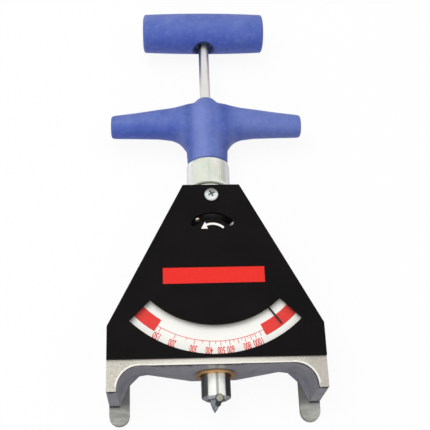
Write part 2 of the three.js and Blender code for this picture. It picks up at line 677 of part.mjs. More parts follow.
// The needle hangs straight down in its own frame, with the reset pin on its tail
function pointer() {
  const top = HUB_Z + POINTER_HUB_T;
  const needleLow = HUB_Z + POINTER_T;
  const needle = sheet(
    [
      at(-POINTER_WIDTH / 2, -POINTER_REACH),
      at(POINTER_WIDTH / 2, -POINTER_REACH),
      at(POINTER_WIDTH, 0),
      at(POINTER_WIDTH, SLOT_R),
      at(-POINTER_WIDTH, SLOT_R),
      at(-POINTER_WIDTH, 0),
    ],
    needleLow,
    needleLow + POINTER_T,
  );
  const tail = post(POINTER_TAIL_R, 0, SLOT_R, needleLow, needleLow + POINTER_T);
  const blade = needle.add(tail).add(post(POINTER_HUB_R, 0, 0, HUB_Z, top, ROUND));
  const pinHole = post(RESET_PIN_R + SHEET_FIT, 0, SLOT_R, HUB_Z, top);
  return blade.subtract(pinHole).subtract(arborBore(0, HUB_Z, top));
}

function resetPin() {
  return post(RESET_PIN_R, 0, SLOT_R, ARM_Z, BODY_DEPTH + RESET_PIN_PROUD);
}

// A flat ring on the arbor
function flatWasher(radius, bore, low, high) {
  const blank = post(radius, 0, PIVOT_Y, low, high, ARBOR_ROUND);
  return blank.subtract(post(bore, 0, PIVOT_Y, low - CUT, high + CUT, ARBOR_ROUND));
}

// The bronze bush, with its flange under the arch
function plungerBush() {
  const flangeTop = -ARCH_DROP - FIT;
  const bore = SLEEVE_R + RUNNING_FIT;
  return turned([
    at(bore, flangeTop - BUSH_FLANGE_T),
    at(BUSH_FLANGE_R, flangeTop - BUSH_FLANGE_T),
    at(BUSH_FLANGE_R, flangeTop),
    at(BUSH_R, flangeTop),
    at(BUSH_R, BUSH_TOP),
    at(bore, BUSH_TOP),
    at(bore, flangeTop - BUSH_FLANGE_T),
  ]);
}

function feelerSleeve() {
  const flangeLow = BUSH_TOP + FIT;
  return turned([
    at(RUN_R, -SLEEVE_DROP),
    at(SLEEVE_R, -SLEEVE_DROP),
    at(SLEEVE_R, flangeLow),
    at(SLEEVE_FLANGE_R, flangeLow),
    at(SLEEVE_FLANGE_R, SLEEVE_TOP),
    at(SLEEVE_NECK_R, SLEEVE_TOP),
    at(SLEEVE_NECK_R, NUT_TOP),
    at(RUN_R, NUT_TOP),
    at(RUN_R, -SLEEVE_DROP),
  ]);
}

function sleeveNut() {
  const hexR = NUT_ACROSS / 2 / Math.cos(Math.PI / HEX_SIDES);
  const blank = bar(hexR, NUT_LOW, NUT_TOP, HEX_SIDES);
  return blank.subtract(bar(SLEEVE_NECK_R + FIT, NUT_LOW - CUT, NUT_TOP + CUT, HIDDEN_ROUND));
}

// The rack runs past the left of the pinion, on a foot that the nut holds on the sleeve
function rackBar() {
  const left = -PITCH_R - RACK_DEPTH;
  const rootX = -PITCH_R - GEAR_MODULE * DEDENDUM_SHARE;
  const tipX = -PITCH_R + GEAR_MODULE * ADDENDUM_SHARE;
  const lean = Math.tan(PRESSURE_ANGLE);
  const pitch = Math.PI * GEAR_MODULE;
  const half = pitch / 4 - BACKLASH / 2;
  const teethBefore = Math.ceil(SLEEVE_STROKE / pitch) + 2;
  const outline = [at(left, FOOT_LOW), at(rootX, FOOT_LOW)];
  for (let tooth = -teethBefore; tooth <= 1; tooth++) {
    const y = PIVOT_Y + (tooth + 0.5) * pitch;
    const rootHalf = half + (-PITCH_R - rootX) * lean;
    const tipHalf = half - (tipX + PITCH_R) * lean;
    outline.push(at(rootX, y - rootHalf), at(tipX, y - tipHalf), at(tipX, y + tipHalf));
    outline.push(at(rootX, y + rootHalf));
  }
  outline.push(at(rootX, RACK_REACH), at(left, RACK_REACH));
  const rack = sheet(outline, PINION_Z, PINION_Z + PINION_T);
  const low = AXIS_Z - RACK_FOOT_HALF;
  const footHigh = FOOT_LOW + RACK_FOOT_T;
  const foot = box(left, RACK_FOOT_HALF, FOOT_LOW, footHigh, low, PINION_Z + PINION_T);
  const neck = bar(SLEEVE_NECK_R + FIT, FOOT_LOW - CUT, footHigh + CUT, HIDDEN_ROUND);
  return rack.add(foot).subtract(neck);
}

function rackGuide() {
  const right = -PITCH_R - RACK_DEPTH - FIT;
  const half = PITCH_R * GUIDE_HALF_SHARE;
  const top = PINION_Z + PINION_T;
  const low = PINION_Z - FIT + SHEET_FIT;
  return box(right - ARM_WIDTH, right, PIVOT_Y - half, PIVOT_Y + half, low, top);
}

// The pointed end of the hook, screwed into the stem
function hookTip() {
  const low = STEM_LOW - FIT;
  const shank = bar(STEM_R, -SLEEVE_DROP, low);
  const stud = bar(STUD_R, low - CUT, low + STUD_LENGTH);
  const outline = [
    at(-STEM_R * TIP_ROOT_SHARE, -SLEEVE_DROP + CUT),
    at(TIP_POINT_X, -TIP_DROP),
    at(STEM_R * TIP_ROOT_SHARE, -SLEEVE_DROP + CUT),
  ];
  const wedge = sheet(outline, AXIS_Z - TIP_HALF_DEPTH, AXIS_Z + TIP_HALF_DEPTH);
  const tip = shank.add(stud).add(wedge.intersect(bar(STEM_R, -TIP_DROP - CUT, low)));
  const boreR = HOOK_TENON_R + FIT / 2;
  return tip.subtract(
    post(boreR, TIP_POINT_X / 2, -HOOK_PIN_DROP, AXIS_Z - STEM_R, AXIS_Z + STEM_R, CORNER_STEPS),
  );
}

// The cross pin with its round end towards the face side, riveted through the tip
function hookPin() {
  const seat = AXIS_Z + TIP_HALF_DEPTH + FIT;
  const chamfer = HOOK_PIN_R * CHAMFER_SHARE;
  const profile = [
    at(0, seat),
    at(HOOK_PIN_R, seat),
    at(HOOK_PIN_R, HOOK_PIN_FRONT - chamfer),
    at(HOOK_PIN_R - chamfer, HOOK_PIN_FRONT),
    at(0, HOOK_PIN_FRONT),
  ];
  const pin = new THREE.LatheGeometry(profile, ROUND).rotateX(UP);
  const tenonLow = AXIS_Z - TIP_HALF_DEPTH;
  const tenonX = TIP_POINT_X / 2;
  return solid(pin.translate(HOOK_PIN_X, -HOOK_PIN_DROP, 0)).add(
    post(HOOK_TENON_R, tenonX, -HOOK_PIN_DROP, tenonLow, seat + CUT, CORNER_STEPS),
  );
}

function hookStem() {
  const stem = bar(STEM_R, STEM_LOW, STEM_HIGH, ROUND);
  const socket = bar(STUD_R + FIT, STEM_LOW - CUT, STEM_LOW + STUD_LENGTH + CUT);
  const stud = bar(STUD_R, STEM_HIGH - CUT, STEM_HIGH + STUD_LENGTH);
  return stem.subtract(socket).add(stud).subtract(crossHole(SEAT_PIN_R + FIT, SEAT_PIN_Y));
}

function crossHole(radius, y) {
  return crossBar(radius, y, STEM_R + CUT);
}

// A round bar along X through the plunger axis
function crossBar(radius, y, half) {
  const geometry = new THREE.CylinderGeometry(radius, radius, 2 * half, SMALL_ROUND);
  return solid(geometry.rotateZ(UP).translate(0, y, AXIS_Z));
}

function pushRod() {
  const low = STEM_HIGH + FIT;
  return bar(ROD_R, low, ROD_HIGH).subtract(bar(STUD_R + FIT, low - CUT, low + STUD_LENGTH + CUT));
}

// A straight-knurled band between two plain ones
function knurledCollar() {
  const points = [];
  for (let i = 0; i < 2 * KNURL_RIDGES; i++) {
    const angle = (i * Math.PI) / KNURL_RIDGES;
    const radius = COLLAR_R - (i % 2) * KNURL_DEPTH;
    points.push(at(radius * Math.cos(angle), radius * Math.sin(angle)));
  }
  const low = COLLAR_LOW + COLLAR_BAND;
  const high = COLLAR_HIGH - COLLAR_BAND;
  const knurl = sheet(points, 0, high - low).rotate([-90, 0, 0]).translate([0, low, AXIS_Z]);
  const plainR = COLLAR_R - KNURL_DEPTH;
  const chamfer = COLLAR_BAND / 2;
  const blank = turned([
    at(0, COLLAR_LOW),
    at(plainR - chamfer, COLLAR_LOW),
    at(plainR, COLLAR_LOW + chamfer),
    at(plainR, COLLAR_HIGH - chamfer),
    at(plainR - chamfer, COLLAR_HIGH),
    at(0, COLLAR_HIGH),
  ]);
  return blank.add(knurl).subtract(bar(TUBE_SEAT_R, COLLAR_LOW - CUT, COLLAR_HIGH + CUT));
}

// Sections of the two arms of the grip: shares of reach, drop, rise and depth
const GRIP_SECTION_SHARES = [
  [1, -0.17, 0.45, 0.3],
  [0.985, -0.06, 0.52, 0.46],
  [0.95, 0, 0.56, 0.54],
  [0.75, 0, 0.615, 0.62],
  [0.5, 0.01, 0.7, 0.72],
  [0.36, 0.06, 0.74, 0.8],
  [0.29, 0.16, 0.78, 0.86],
  [0.245, 0.31, 0.815, 0.9],
  [0.215, 0.47, 0.845, 0.92],
  [0.15, 0.52, 0.88, 0.94],
];

function gripSection(side, [reach, drop, rise, depth]) {
  const low = GRIP_ARM_LOW - drop * (GRIP_ARM_LOW - GRIP_LOW);
  const high = GRIP_ARM_LOW + rise * (GRIP_APEX - GRIP_ARM_LOW);
  const half = depth * GRIP_BARREL_R;
  return Array.from({ length: GRIP_SIDES }, (_, i) => {
    const angle = (i * 2 * Math.PI) / GRIP_SIDES;
    return new THREE.Vector3(
      side * reach * GRIP_ARM_REACH,
      (low + high) / 2 + ((high - low) / 2) * Math.cos(angle),
      AXIS_Z + half * Math.sin(angle),
    );
  });
}

// Radius and height of the grip's barrel as shares
const GRIP_BARREL_SHARES = [
  [1, 0.4],
  [1, 0.72],
  [0.9, 0.82],
  [0.66, 0.91],
];

function tGrip() {
  const span = GRIP_APEX - GRIP_LOW;
  const barrel = turned([
    at(0, GRIP_LOW),
    at(GRIP_MOUTH_R, GRIP_LOW),
    ...GRIP_BARREL_SHARES.map(([r, y]) => at(GRIP_BARREL_R * r, GRIP_LOW + span * y)),
    at(GRIP_APEX_R, GRIP_APEX),
    at(0, GRIP_APEX),
  ]);
  const left = GRIP_SECTION_SHARES.map((shares) => gripSection(-1, shares));
  const right = GRIP_SECTION_SHARES.map((shares) => gripSection(1, shares)).reverse();
  const screwMouth = AXIS_Z - GRIP_BARREL_R - CUT;
  return barrel
    .add(loft([...left, ...right]))
    .subtract(bar(TUBE_SEAT_R, GRIP_LOW - CUT, TUBE_HIGH + FIT))
    .subtract(bar(GUIDE_R + FIT, TUBE_HIGH, GUIDE_HIGH + FIT))
    .subtract(bar(ROD_R + RUNNING_FIT, GUIDE_HIGH, GRIP_APEX + CUT))
    .subtract(post(SET_SCREW_R + FIT, 0, SET_SCREW_Y, screwMouth, AXIS_Z - TUBE_R));
}

// The headless screw behind the grip, which bears on the tube
function gripSetScrew() {
  return post(SET_SCREW_R, 0, SET_SCREW_Y, AXIS_Z - GRIP_MOUTH_R, AXIS_Z - TUBE_SEAT_R);
}

// Place and radius of the push handle's outline, from its middle to one end
const CAP_SHARES = [
  [0, 1],
  [0.25, 0.995],
  [0.6, 0.972],
  [0.92, 0.934],
  [0.962, 0.915],
  [0.985, 0.86],
  [0.994, 0.68],
  [1, 0],
];

function tCap() {
  const half = CAP_SHARES.map(([x, r]) => at(CAP_R * r, CAP_HALF * x));
  const mirrored = half.slice(1).reverse().map((point) => at(point.x, -point.y));
  const roller = new THREE.LatheGeometry([...mirrored, ...half], ROUND).rotateZ(-UP);
  const handle = solid(roller.translate(0, CAP_Y, AXIS_Z));
  return handle.subtract(bar(CAP_HOLE_R, CAP_Y - CAP_R - CUT, CAP_BORE_HIGH));
}

const casting = { color: 0xc9c4b6, roughness: 0.55, metalness: 0.7 };
const zinc = { color: 0xd6d9ca, roughness: 0.35, metalness: 0.9 };
const steel = { color: 0xc8cccc, roughness: 0.22, metalness: 1 };
const springSteel = { color: 0x8d9296, roughness: 0.35, metalness: 1 };
const bronze = { color: 0xb07a45, roughness: 0.4, metalness: 0.9 };
const black = { color: 0x1b1a1a, roughness: 0.45, metalness: 0.1 };
const white = { color: 0xf7f5ee, roughness: 0.6, metalness: 0 };
const bluePlastic = { color: 0x4b5fae, roughness: 0.6, metalness: 0 };
const clear = { color: 0xf2f6f6, roughness: 0.08, metalness: 0 };

// A group of pieces that move together
function assembly(pieces, y = 0, turn = 0) {
  const group = new THREE.Group();
  group.position.y = y;
  group.rotation.z = turn;
  for (const [name, body, finish] of pieces) {
    const mesh = new THREE.Mesh(surface(body), new THREE.MeshStandardMaterial(finish));
    mesh.name = name;
    group.add(mesh);
  }
  return group;
}

function placedScrews(name, seat, direction, places) {
  const blank = smallScrew(seat, direction);
  return places.map(([x, y], i) => [`${name}_${i + 1}`, blank.translate([x, y, 0]), zinc]);
}

const bothSides = (places) => places.flatMap(([x, y]) => [[-x, y], [x, y]]);

const frame = assembly([
  ["yoke_body", yokeBody(), casting],
  ["back_cover", backCover(), black],
  ["face_plate", facePlate(), black],
  ["face_screw", faceScrew().translate([0, FACE_SCREW_Y, 0]), zinc],
  ["window_lens", windowLens(), clear],
  ["dial_plate", dialPlate(), white],
  ["movement_plate", movementPlate(), steel],
  ["pointer_arbor", pointerArbor(), steel],
  ["rack_guide", rackGuide(), bronze],
  ["friction_washer", flatWasher(WASHER_R, ARBOR_R + FIT, WASHER_Z, WASHER_Z + WASHER_T), bronze],
  ["arbor_clip", flatWasher(CLIP_R, ARBOR_R + SHEET_FIT, CLIP_Z, CLIP_Z + CLIP_T), springSteel],
  ["plunger_bush", plungerBush(), bronze],
  ["main_spring", ring(SPRING_BORE_R, MAIN_SPRING_R, MAIN_SPRING_LOW, SEAT_LOW - FIT), springSteel],
  ["sleeve_spring", ring(SPRING_BORE_R, SLEEVE_SPRING_R, NUT_TOP + FIT, RIB_LOW - FIT), springSteel],
  ["spring_tube", ring(TUBE_BORE_R, TUBE_R, TUBE_LOW, TUBE_HIGH, ROUND), steel],
  ["lock_ring", ring(TUBE_SEAT_R, LOCK_RING_R, LOCK_RING_LOW, LOCK_RING_LOW + LOCK_RING_T, ROUND), zinc],
  ["knurled_collar", knurledCollar(), zinc],
  ["t_grip", tGrip(), bluePlastic],
  ["grip_set_screw", gripSetScrew(), springSteel],
  ["rod_guide_bush", ring(ROD_R + RUNNING_FIT, GUIDE_R, GUIDE_LOW, GUIDE_HIGH), bronze],
  ...placedScrews("cover_screw", COVER_SCREW_SEAT, -1, bothSides(COVER_SCREW_PLACES)),
  ...placedScrews("dial_screw", DIAL_SCREW_SEAT, 1, bothSides([[DIAL_POST_X, LOWER_RIB_Y]])),
  ...placedScrews(
    "movement_screw",
    MOVEMENT_SCREW_SEAT,
    1,
    bothSides([[MOVEMENT_SCREW_X, LOWER_RIB_Y], [MOVEMENT_SCREW_X, UPPER_RIB_Y]]),
  ),
]);

const hook = assembly([
  ["hook_tip", hookTip(), steel],
  ["hook_pin", hookPin(), steel],
  ["hook_stem", hookStem(), steel],
  ["spring_seat", ring(RUN_R, SPRING_SEAT_R, SEAT_LOW, SEAT_LOW + SEAT_T), steel],
  ["seat_pin", crossBar(SEAT_PIN_R, SEAT_PIN_Y, SEAT_PIN_LENGTH / 2), springSteel],
  ["push_rod", pushRod(), steel],
  ["cap_insert", ring(ROD_R + FIT, INSERT_R, INSERT_LOW, CAP_BORE_HIGH - FIT), bronze],
  ["t_cap", tCap(), bluePlastic],
]);

const sleeve = assembly([
  ["feeler_sleeve", feelerSleeve(), steel],
  ["rack_bar", rackBar(), steel],
  ["sleeve_nut", sleeveNut(), zinc],
]);

const pinionSet = assembly([["pinion", pinion(), bronze]], PIVOT_Y);
const armSet = assembly([["drive_arm", driveArm(), steel]], PIVOT_Y, REST_ANGLE);
const pointerSet = assembly(
  [["pointer", pointer(), black], ["reset_pin", resetPin(), steel]],
  PIVOT_Y,
  REST_ANGLE,
);

const gauge = new THREE.Group();
gauge.add(frame, hook, sleeve, pinionSet, armSet, pointerSet);
export default gauge;
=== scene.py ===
import math

import bmesh
import bpy
from bpy.props import FloatProperty, FloatVectorProperty, IntProperty, PointerProperty
from mathutils import Matrix, Vector


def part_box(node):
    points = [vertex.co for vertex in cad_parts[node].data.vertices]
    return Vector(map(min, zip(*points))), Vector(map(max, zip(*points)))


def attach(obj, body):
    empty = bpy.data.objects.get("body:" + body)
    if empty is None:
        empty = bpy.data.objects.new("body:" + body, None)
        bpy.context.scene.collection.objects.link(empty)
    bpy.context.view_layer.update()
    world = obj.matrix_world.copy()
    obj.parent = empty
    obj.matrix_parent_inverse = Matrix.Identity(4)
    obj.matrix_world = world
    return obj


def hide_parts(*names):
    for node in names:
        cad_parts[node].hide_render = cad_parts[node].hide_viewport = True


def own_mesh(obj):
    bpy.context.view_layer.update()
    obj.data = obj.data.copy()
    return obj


bl_info = {
    "name": "Belt Tension Gauge",
    "version": (1, 0, 0),
    "blender": (4, 5, 0),
    "location": "3D View > Sidebar > Gauge",
    "description": "Dresses the solids of a belt tension gauge with its visible surfaces",
    "category": "Object",
}

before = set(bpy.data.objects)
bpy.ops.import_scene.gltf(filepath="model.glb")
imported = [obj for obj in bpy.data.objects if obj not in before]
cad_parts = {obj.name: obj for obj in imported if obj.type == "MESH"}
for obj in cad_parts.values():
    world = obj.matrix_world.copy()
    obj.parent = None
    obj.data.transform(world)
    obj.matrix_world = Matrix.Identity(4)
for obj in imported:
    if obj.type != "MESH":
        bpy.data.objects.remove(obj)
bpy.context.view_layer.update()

MM = 0.001
ALONG_X = (1, 0, 0)
ALONG_Y = (0, 1, 0)
ALONG_Z = (0, 0, 1)


def centre_of(node):
    """The middle of a solid's box."""
    low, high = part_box(node)
    return (low + high) / 2


# Places that the pieces share, from the solids
ROD_LOW, ROD_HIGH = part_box("push_rod")
AXIS = Vector((0, 0, (ROD_LOW.z + ROD_HIGH.z) / 2))
PIVOT = Vector((0, centre_of("pointer_arbor").y, 0))
DIAL_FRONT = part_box("dial_plate")[1].z
FACE_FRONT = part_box("face_plate")[1].z
RIM_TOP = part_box("yoke_body")[1].z
SCREW = centre_of("face_screw")
SCREW_LOW, SCREW_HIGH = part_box("face_screw")
SLEEVE_LOW, SLEEVE_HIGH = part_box("feeler_sleeve")
HOOK_PIN = centre_of("hook_pin")
HOOK_PIN_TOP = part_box("hook_pin")[1].z
CAP_LOW, CAP_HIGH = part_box("t_cap")
CAP_RADIUS = (CAP_HIGH.z - CAP_LOW.z) / 2
CAP_CENTRE = Vector((0, CAP_HIGH.y - CAP_RADIUS, AXIS.z))
GRIP_LOW, GRIP_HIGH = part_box("t_grip")
COLLAR_LOW, COLLAR_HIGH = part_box("knurled_collar")
TUBE_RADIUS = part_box("spring_tube")[1].x
TUBE_SEAT = TUBE_RADIUS + 0.3 * MM

SMOOTH_BELOW = math.radians(32)  # edges flatter than this are shaded smooth
WELD = 1e-6
TURNED_STEPS = 96
SMALL_STEPS = 48

# The scale: each reading's angle in degrees from straight down
READINGS = {
    150: -30.63, 200: -22.15, 300: -11.45, 400: -3.6, 500: 2.3, 600: 6.97,
    700: 11.49, 800: 15.27, 900: 18.33, 1000: 20.95, 1100: 23.92, 1200: 26.3,
}
NUMBERED = (150, 200, 300, 400, 500, 600, 800, 1000)
HALF_WAY_TICKS = (-15.96, -7.27, -0.47, 4.87, 9.24, 13.48, 16.91, 19.72)

# Strokes across the scale: inner and outer radius, and width, in millimetres
LONG_STROKE = (59.4, 62.2, 0.34)
SHORT_STROKE = (59.4, 60.9, 0.3)

# Numbers on the scale, in millimetres
NUMERAL_RADIUS = 64.8
NUMERAL_HEIGHT = 4.3
DIGIT_WIDTH = 1.36
NUMERAL_BOLDNESS = 0.022  # share of the letter size

# Bands round the pivot: inner and outer radius in millimetres, and their ends in degrees from straight down
LEFT_ZONE = (55.5, 63.1, -48.5, -32.7)
RIGHT_ZONE = (56.0, 63.2, 26.3, 48.5)
SCALE_LINE = (59.25, 59.6, -32.7, 26.3)
RESET_ARC = (8.8, 10.1, 137, 202.5)
SLOT_LIGHT_SHEET = (11.8, 17.4, 124, 132.8)

# a sheet in the slot under the face, carrying painted shade and a painted pool of light at its right end:
# its depth and thickness
SLOT_LIGHT_SHEET_DEPTH = 1.6 * MM
SLOT_LIGHT_SHEET_THICKNESS = 0.35 * MM

# Corners on the face, in millimetres: the stripe's from the origin, the arrow head's from the pivot
STRIPE = ((-28.9, 42.6), (28.5, 42.9), (28.5, 52.3), (-28.9, 52.1))
ARROW_HEAD = ((-6.5, 6.4), (-2.7, 6.4), (-4.2, 10.8))

# The face screw: its shank, its recess, and the shares of its head that are flat and upright
SCREW_SHANK = 1.9 * MM
SCREW_GAP = 0.1 * MM
HEAD_FLAT_SHARE = 0.42
HEAD_WALL_SHARE = 0.3
HEAD_STEPS = 8
RECESS_SIZE = (4.0 * MM, 0.85 * MM, 2.6 * MM)
RECESS_TURNS = (28, 118)

# The collar: its chamfers, its plain end bands and the slope up to the knurl
COLLAR_CHAMFER = 0.7 * MM
COLLAR_BAND = 1.5 * MM
COLLAR_SLOPE = 0.5 * MM
KNURL_SHARP = math.radians(50)

# The push handle: the share that its radius loses to its ends, and its rounded ends
CAP_BARREL_SHARE = 0.072
CAP_END_LENGTH = 2.2 * MM
CAP_END_DROP = 2.6 * MM
CAP_DOME = 0.5 * MM
CAP_BARREL_STEPS = 24
CAP_END_STEPS = 8
CAP_DOME_STEPS = 5
CAP_BORE = 6.5 * MM
CAP_BORE_END = 236.5 * MM

# Sections of the grip's arms: shares of reach, drop, rise and depth
GRIP_SECTIONS = (
    (1, -0.07, 0.51, 0.42), (0.99, -0.02, 0.545, 0.51), (0.975, 0, 0.555, 0.535),
    (0.75, 0, 0.615, 0.62), (0.5, 0.01, 0.7, 0.72), (0.36, 0.06, 0.74, 0.8),
    (0.29, 0.16, 0.78, 0.86), (0.245, 0.31, 0.815, 0.9), (0.215, 0.47, 0.845, 0.92),
    (0.15, 0.52, 0.88, 0.94),
)
GRIP_BARREL_SHARES = ((1, 0.4), (1, 0.72), (0.9, 0.82), (0.66, 0.91), (0.4, 1))
GRIP_ARM_LOW = 149 * MM
GRIP_BARREL_RADIUS = 13.3 * MM
GRIP_MOUTH_RADIUS = 12.4 * MM

# The grip's bores on the plunger axis, for the tube, the rod and its bush: radius, start and end
GRIP_BORES = (
    (TUBE_SEAT, GRIP_LOW.y - MM, 150.3 * MM),
    (3.7 * MM, 149 * MM, GRIP_HIGH.y + MM),
    (6.3 * MM, 150 * MM, 172 * MM),
)
SET_SCREW_RADIUS = 2.3 * MM
SET_SCREW_PLACE = Vector((0, 139 * MM, 0))
SET_SCREW_ENDS = (AXIS.z - 15 * MM, AXIS.z - 9 * MM)

# The hook: shank, stud, and the outline of its flat point in millimetres
SHANK = (4 * MM, -17.8 * MM, -8.3 * MM)
STUD_RADIUS = 2.2 * MM
STUD_LOW = -9 * MM
POINT_OUTLINE = (
    (-3.4, -16.8), (-3.1, -19.5), (-2.2, -22.3), (-0.9, -24.7), (0.6, -22.6), (2.2, -19.8), (3.4, -16.8),
)
POINT_THICKNESS = 7.4 * MM
CROSS_PIN_PLACE = Vector((0.7 * MM, -21 * MM, 0))
CROSS_PIN_SEAT = AXIS.z + 3.3 * MM
CROSS_PIN_NECK = 1.6 * MM
CROSS_PIN_HEAD = 2.35 * MM
CROSS_PIN_HEAD_LENGTH = 1.8 * MM

MAIN_WIRE = 2.4 * MM
SLEEVE_WIRE = 1.3 * MM
COIL_SHARP = math.radians(60)
HOOK_STROKE = 0.016
SLEEVE_STROKE = 0.01

# The camera, in metres, with its axes and its focal length in millimetres
CAMERA_PLACE = (-0.03127, -0.13521, 0.523)
CAMERA_AXES = ((0.998, -0.0366, 0.05154), (0.01198, 0.91002, 0.41442), (-0.06207, -0.41297, 0.90864))
CAMERA_LENS = 76.845

# Lamps, in metres: name, place and power
LAMPS = (("key", (-0.32, 0.3, 1.2), 10.4), ("fill", (0.7, 0.2, 1.0), 1.6), ("front", (-0.4, -0.8, 0.6), 2.2))
LAMP_SIZE = 0.9
LAMP_TARGET = Vector((0, 0.1, 0.02))

# Cards that only reflections show: name, shade, length and width, centre, and degrees about Z and X
CARDS = (
    ("table_card", 0.2, (1.4, 0.8), (0, -0.3, 0.0001), (0, 0)),
    ("upper_card", 0.95, (1.4, 0.8), (0, 0.5, 0.0001), (0, 0)),
    ("right_card", 0.85, (1.6, 0.3), (0.7, 0.1, 0.12), (90, 90)),
    ("overhead_card", 0.35, (0.09, 1.0), (0.09, 0.75, 1.36), (0, -24)),
)

FLOOR_REACH = 6
FLOOR_DROP = 0.0002
FLOOR_SHADE = 0.86
FLOOR_GLOW = 0.92
WORLD_LIGHT = 0.4
WORLD_GLOW = 0.6


# Sizes and colours

def length_property(name, description, default, high, low=0):
    """A length, given in millimetres."""
    return FloatProperty(
        name=name, description=description, default=default * MM, min=low * MM, max=high * MM,
        unit="LENGTH", precision=5,
    )


def count_property(name, description, default, low, high):
    return IntProperty(name=name, description=description, default=default, min=low, max=high)


def colour_property(name, description, default):
    return FloatVectorProperty(
        name=name, description=description, default=default,
        subtype="COLOR", size=3, min=0, max=1,
    )


class GaugeSizes(bpy.types.PropertyGroup):
    edge_round: length_property("Casting edge", "Rounding of the casting's edges", 0.45, 0.8)
    sheet_round: length_property("Sheet edge", "Rounding of the face plate's edges", 0.12, 0.4)
    print_thickness: length_property("Print thickness", "Thickness of the prints", 0.02, 0.05, 0.01)
    knurl_ridges: count_property("Knurl ridges", "Ridges round the collar", 56, 24, 160)
    knurl_depth: length_property("Knurl depth", "Depth of the collar's knurl", 0.28, 0.5)
    grip_voxel: length_property("Grip detail", "Cells in which the grip is blended", 0.7, 2, 0.4)
    grip_blend: count_property("Grip blend", "How softly the arms run into the barrel", 14, 0, 60)
    main_spring_turns: count_property("Main spring turns", "Coils of the main spring", 13, 6, 20)
    sleeve_spring_turns: count_property("Sleeve spring turns", "Coils of the sleeve's spring", 10, 5, 16)


class GaugeColours(bpy.types.PropertyGroup):
    handle: colour_property("Handles", "Moulded handles", (0.075, 0.12, 0.4))
    handle_light: colour_property("Handle bloom", "Paler bloom on the handles", (0.125, 0.175, 0.465))
    casting: colour_property("Machined casting", "Machined front of the casting", (0.5, 0.47, 0.395))
    casting_skin: colour_property("Casting skin", "Casting as it left the mould", (0.35, 0.348, 0.39))
    plate: colour_property("Face paint", "Paint of the face plate", (0.0035, 0.003, 0.0032))
    dial: colour_property("Dial ground", "White ground of the dial", (0.94, 0.93, 0.88))
    print_red: colour_property("Red print", "Red of the dial and the stripe", (0.75, 0.021, 0.013))
    print_white: colour_property("White print", "White of the arrow", (0.9, 0.88, 0.82))
    zinc: colour_property("Zinc", "Zinc plate of collar and screws", (0.86, 0.87, 0.79))
    steel: colour_property("Steel", "Ground steel of the hidden parts", (0.8, 0.8, 0.79))
    rod: colour_property("Rod", "Dull chrome of the push rod", (0.83, 0.82, 0.8))
    spring: colour_property("Spring steel", "Oiled spring steel", (0.33, 0.34, 0.36))
    bronze: colour_property("Bronze", "Bush and bearing bronze", (0.64, 0.35, 0.14))


def sizes():
    return bpy.context.scene.gauge_sizes


def colours():
    return bpy.context.scene.gauge_colours


# Shader maths

class Wire:
    """A node's output, which takes part in Python expressions."""

    def __init__(self, graph, socket):
        self.graph = graph
        self.socket = socket

    def maths(self, operation, first, second):
        return self.graph.add("Math", {0: first, 1: second}, operation=operation)

    def __add__(self, other):
        return self.maths("ADD", self, other)

    __radd__ = __add__

    def __sub__(self, other):
        return self.maths("SUBTRACT", self, other)

    def __rsub__(self, other):
        return self.maths("SUBTRACT", other, self)

    def __mul__(self, other):
        return self.maths("MULTIPLY", self, other)

    __rmul__ = __mul__

    def __pow__(self, other):
        return self.maths("POWER", self, other)

    def size(self):
        return self.maths("ABSOLUTE", self, 0)

    def larger(self, other):
        return self.maths("MAXIMUM", self, other)

    def step(self, start, end):
        """0 at the start, 1 at the end, and a ramp between."""
        return self.graph.add("MapRange", {"Value": self, "From Min": start, "From Max": end})

    def tones(self, start, end, first, second):
        """Two colours that the wire runs between."""
        return self.graph.mix(self.step(start, end), first, second)

    def span(self, start, end):
        """A step between two places in millimetres."""
        return self.step(start * MM, end * MM)


class Graph:
    """The nodes of one material or world."""

    def __init__(self, tree):
        self.tree = tree

    def add(self, kind, inputs=None, output=0, **settings):
        node = self.tree.nodes.new("ShaderNode" + kind)
        for name, value in settings.items():
            setattr(node, name, value)
        for key, value in (inputs or {}).items():
            if isinstance(value, Wire):
                self.tree.links.new(value.socket, node.inputs[key])
            else:
                node.inputs[key].default_value = value
        return Wire(self, node.outputs[output]) if node.outputs else None

    def fixed(self, **levels):
        """Sets inputs of the Principled shader that stay the same all over."""
        for name, value in levels.items():
            self.tree.nodes["Principled BSDF"].inputs[name.replace("_", " ")].default_value = value

    def feed(self, base, roughness, normal=None, metallic=None):
        """Links what changes over the surface to the Principled shader."""
        wires = {"Base Color": base, "Roughness": roughness, "Normal": normal, "Metallic": metallic}
        for name, wire in wires.items():
            if wire is not None:
                self.tree.links.new(wire.socket, self.tree.nodes["Principled BSDF"].inputs[name])

    def noise(self, scale, detail=3, roughness=0.55, stretch=(1, 1, 1), turn=(0, 0, 0)):
        """Noise in object coordinates, which can be stretched and turned."""
        coordinates = self.add("TexCoord", output="Object")
        place = self.add("Mapping", {"Vector": coordinates, "Rotation": turn, "Scale": stretch})
        return self.add(
            "TexNoise", {"Vector": place, "Scale": scale, "Detail": detail, "Roughness": roughness},
        )

    def mix(self, factor, first, second):
        """A mix of two colours."""
        return self.add(
            "Mix", {0: factor, 6: opaque(first), 7: opaque(second)}, output=2, data_type="RGBA",
        )

    def painted(self, base, *coats):
        """A colour under coats of others, each with its mask."""
        for mask, colour in coats:
            base = self.mix(mask, base, colour)
        return base

    def part(self, axis):
        """One object coordinate in metres."""
        return self.add("SeparateXYZ", {0: self.add("TexCoord", output="Object")}, output=axis)

    def distance(self, axis, place):
        """How far one object coordinate is from a place."""
        return (self.part(axis) - place).size()

    def reach(self, first, second, centre):
        """Distance from a centre in the plane of two object coordinates."""
        return hypotenuse(self.part(first) - centre[0], self.part(second) - centre[1])

    def bump(self, height, distance, strength=1.0):
        return self.add("Bump", {"Height": height, "Distance": distance, "Strength": strength})


def hypotenuse(across, along):
    return (across * across + along * along) ** 0.5


def opaque(colour):
    return colour if isinstance(colour, Wire) else (*colour, 1)


# Finishes: each fills the graph of the material of its name

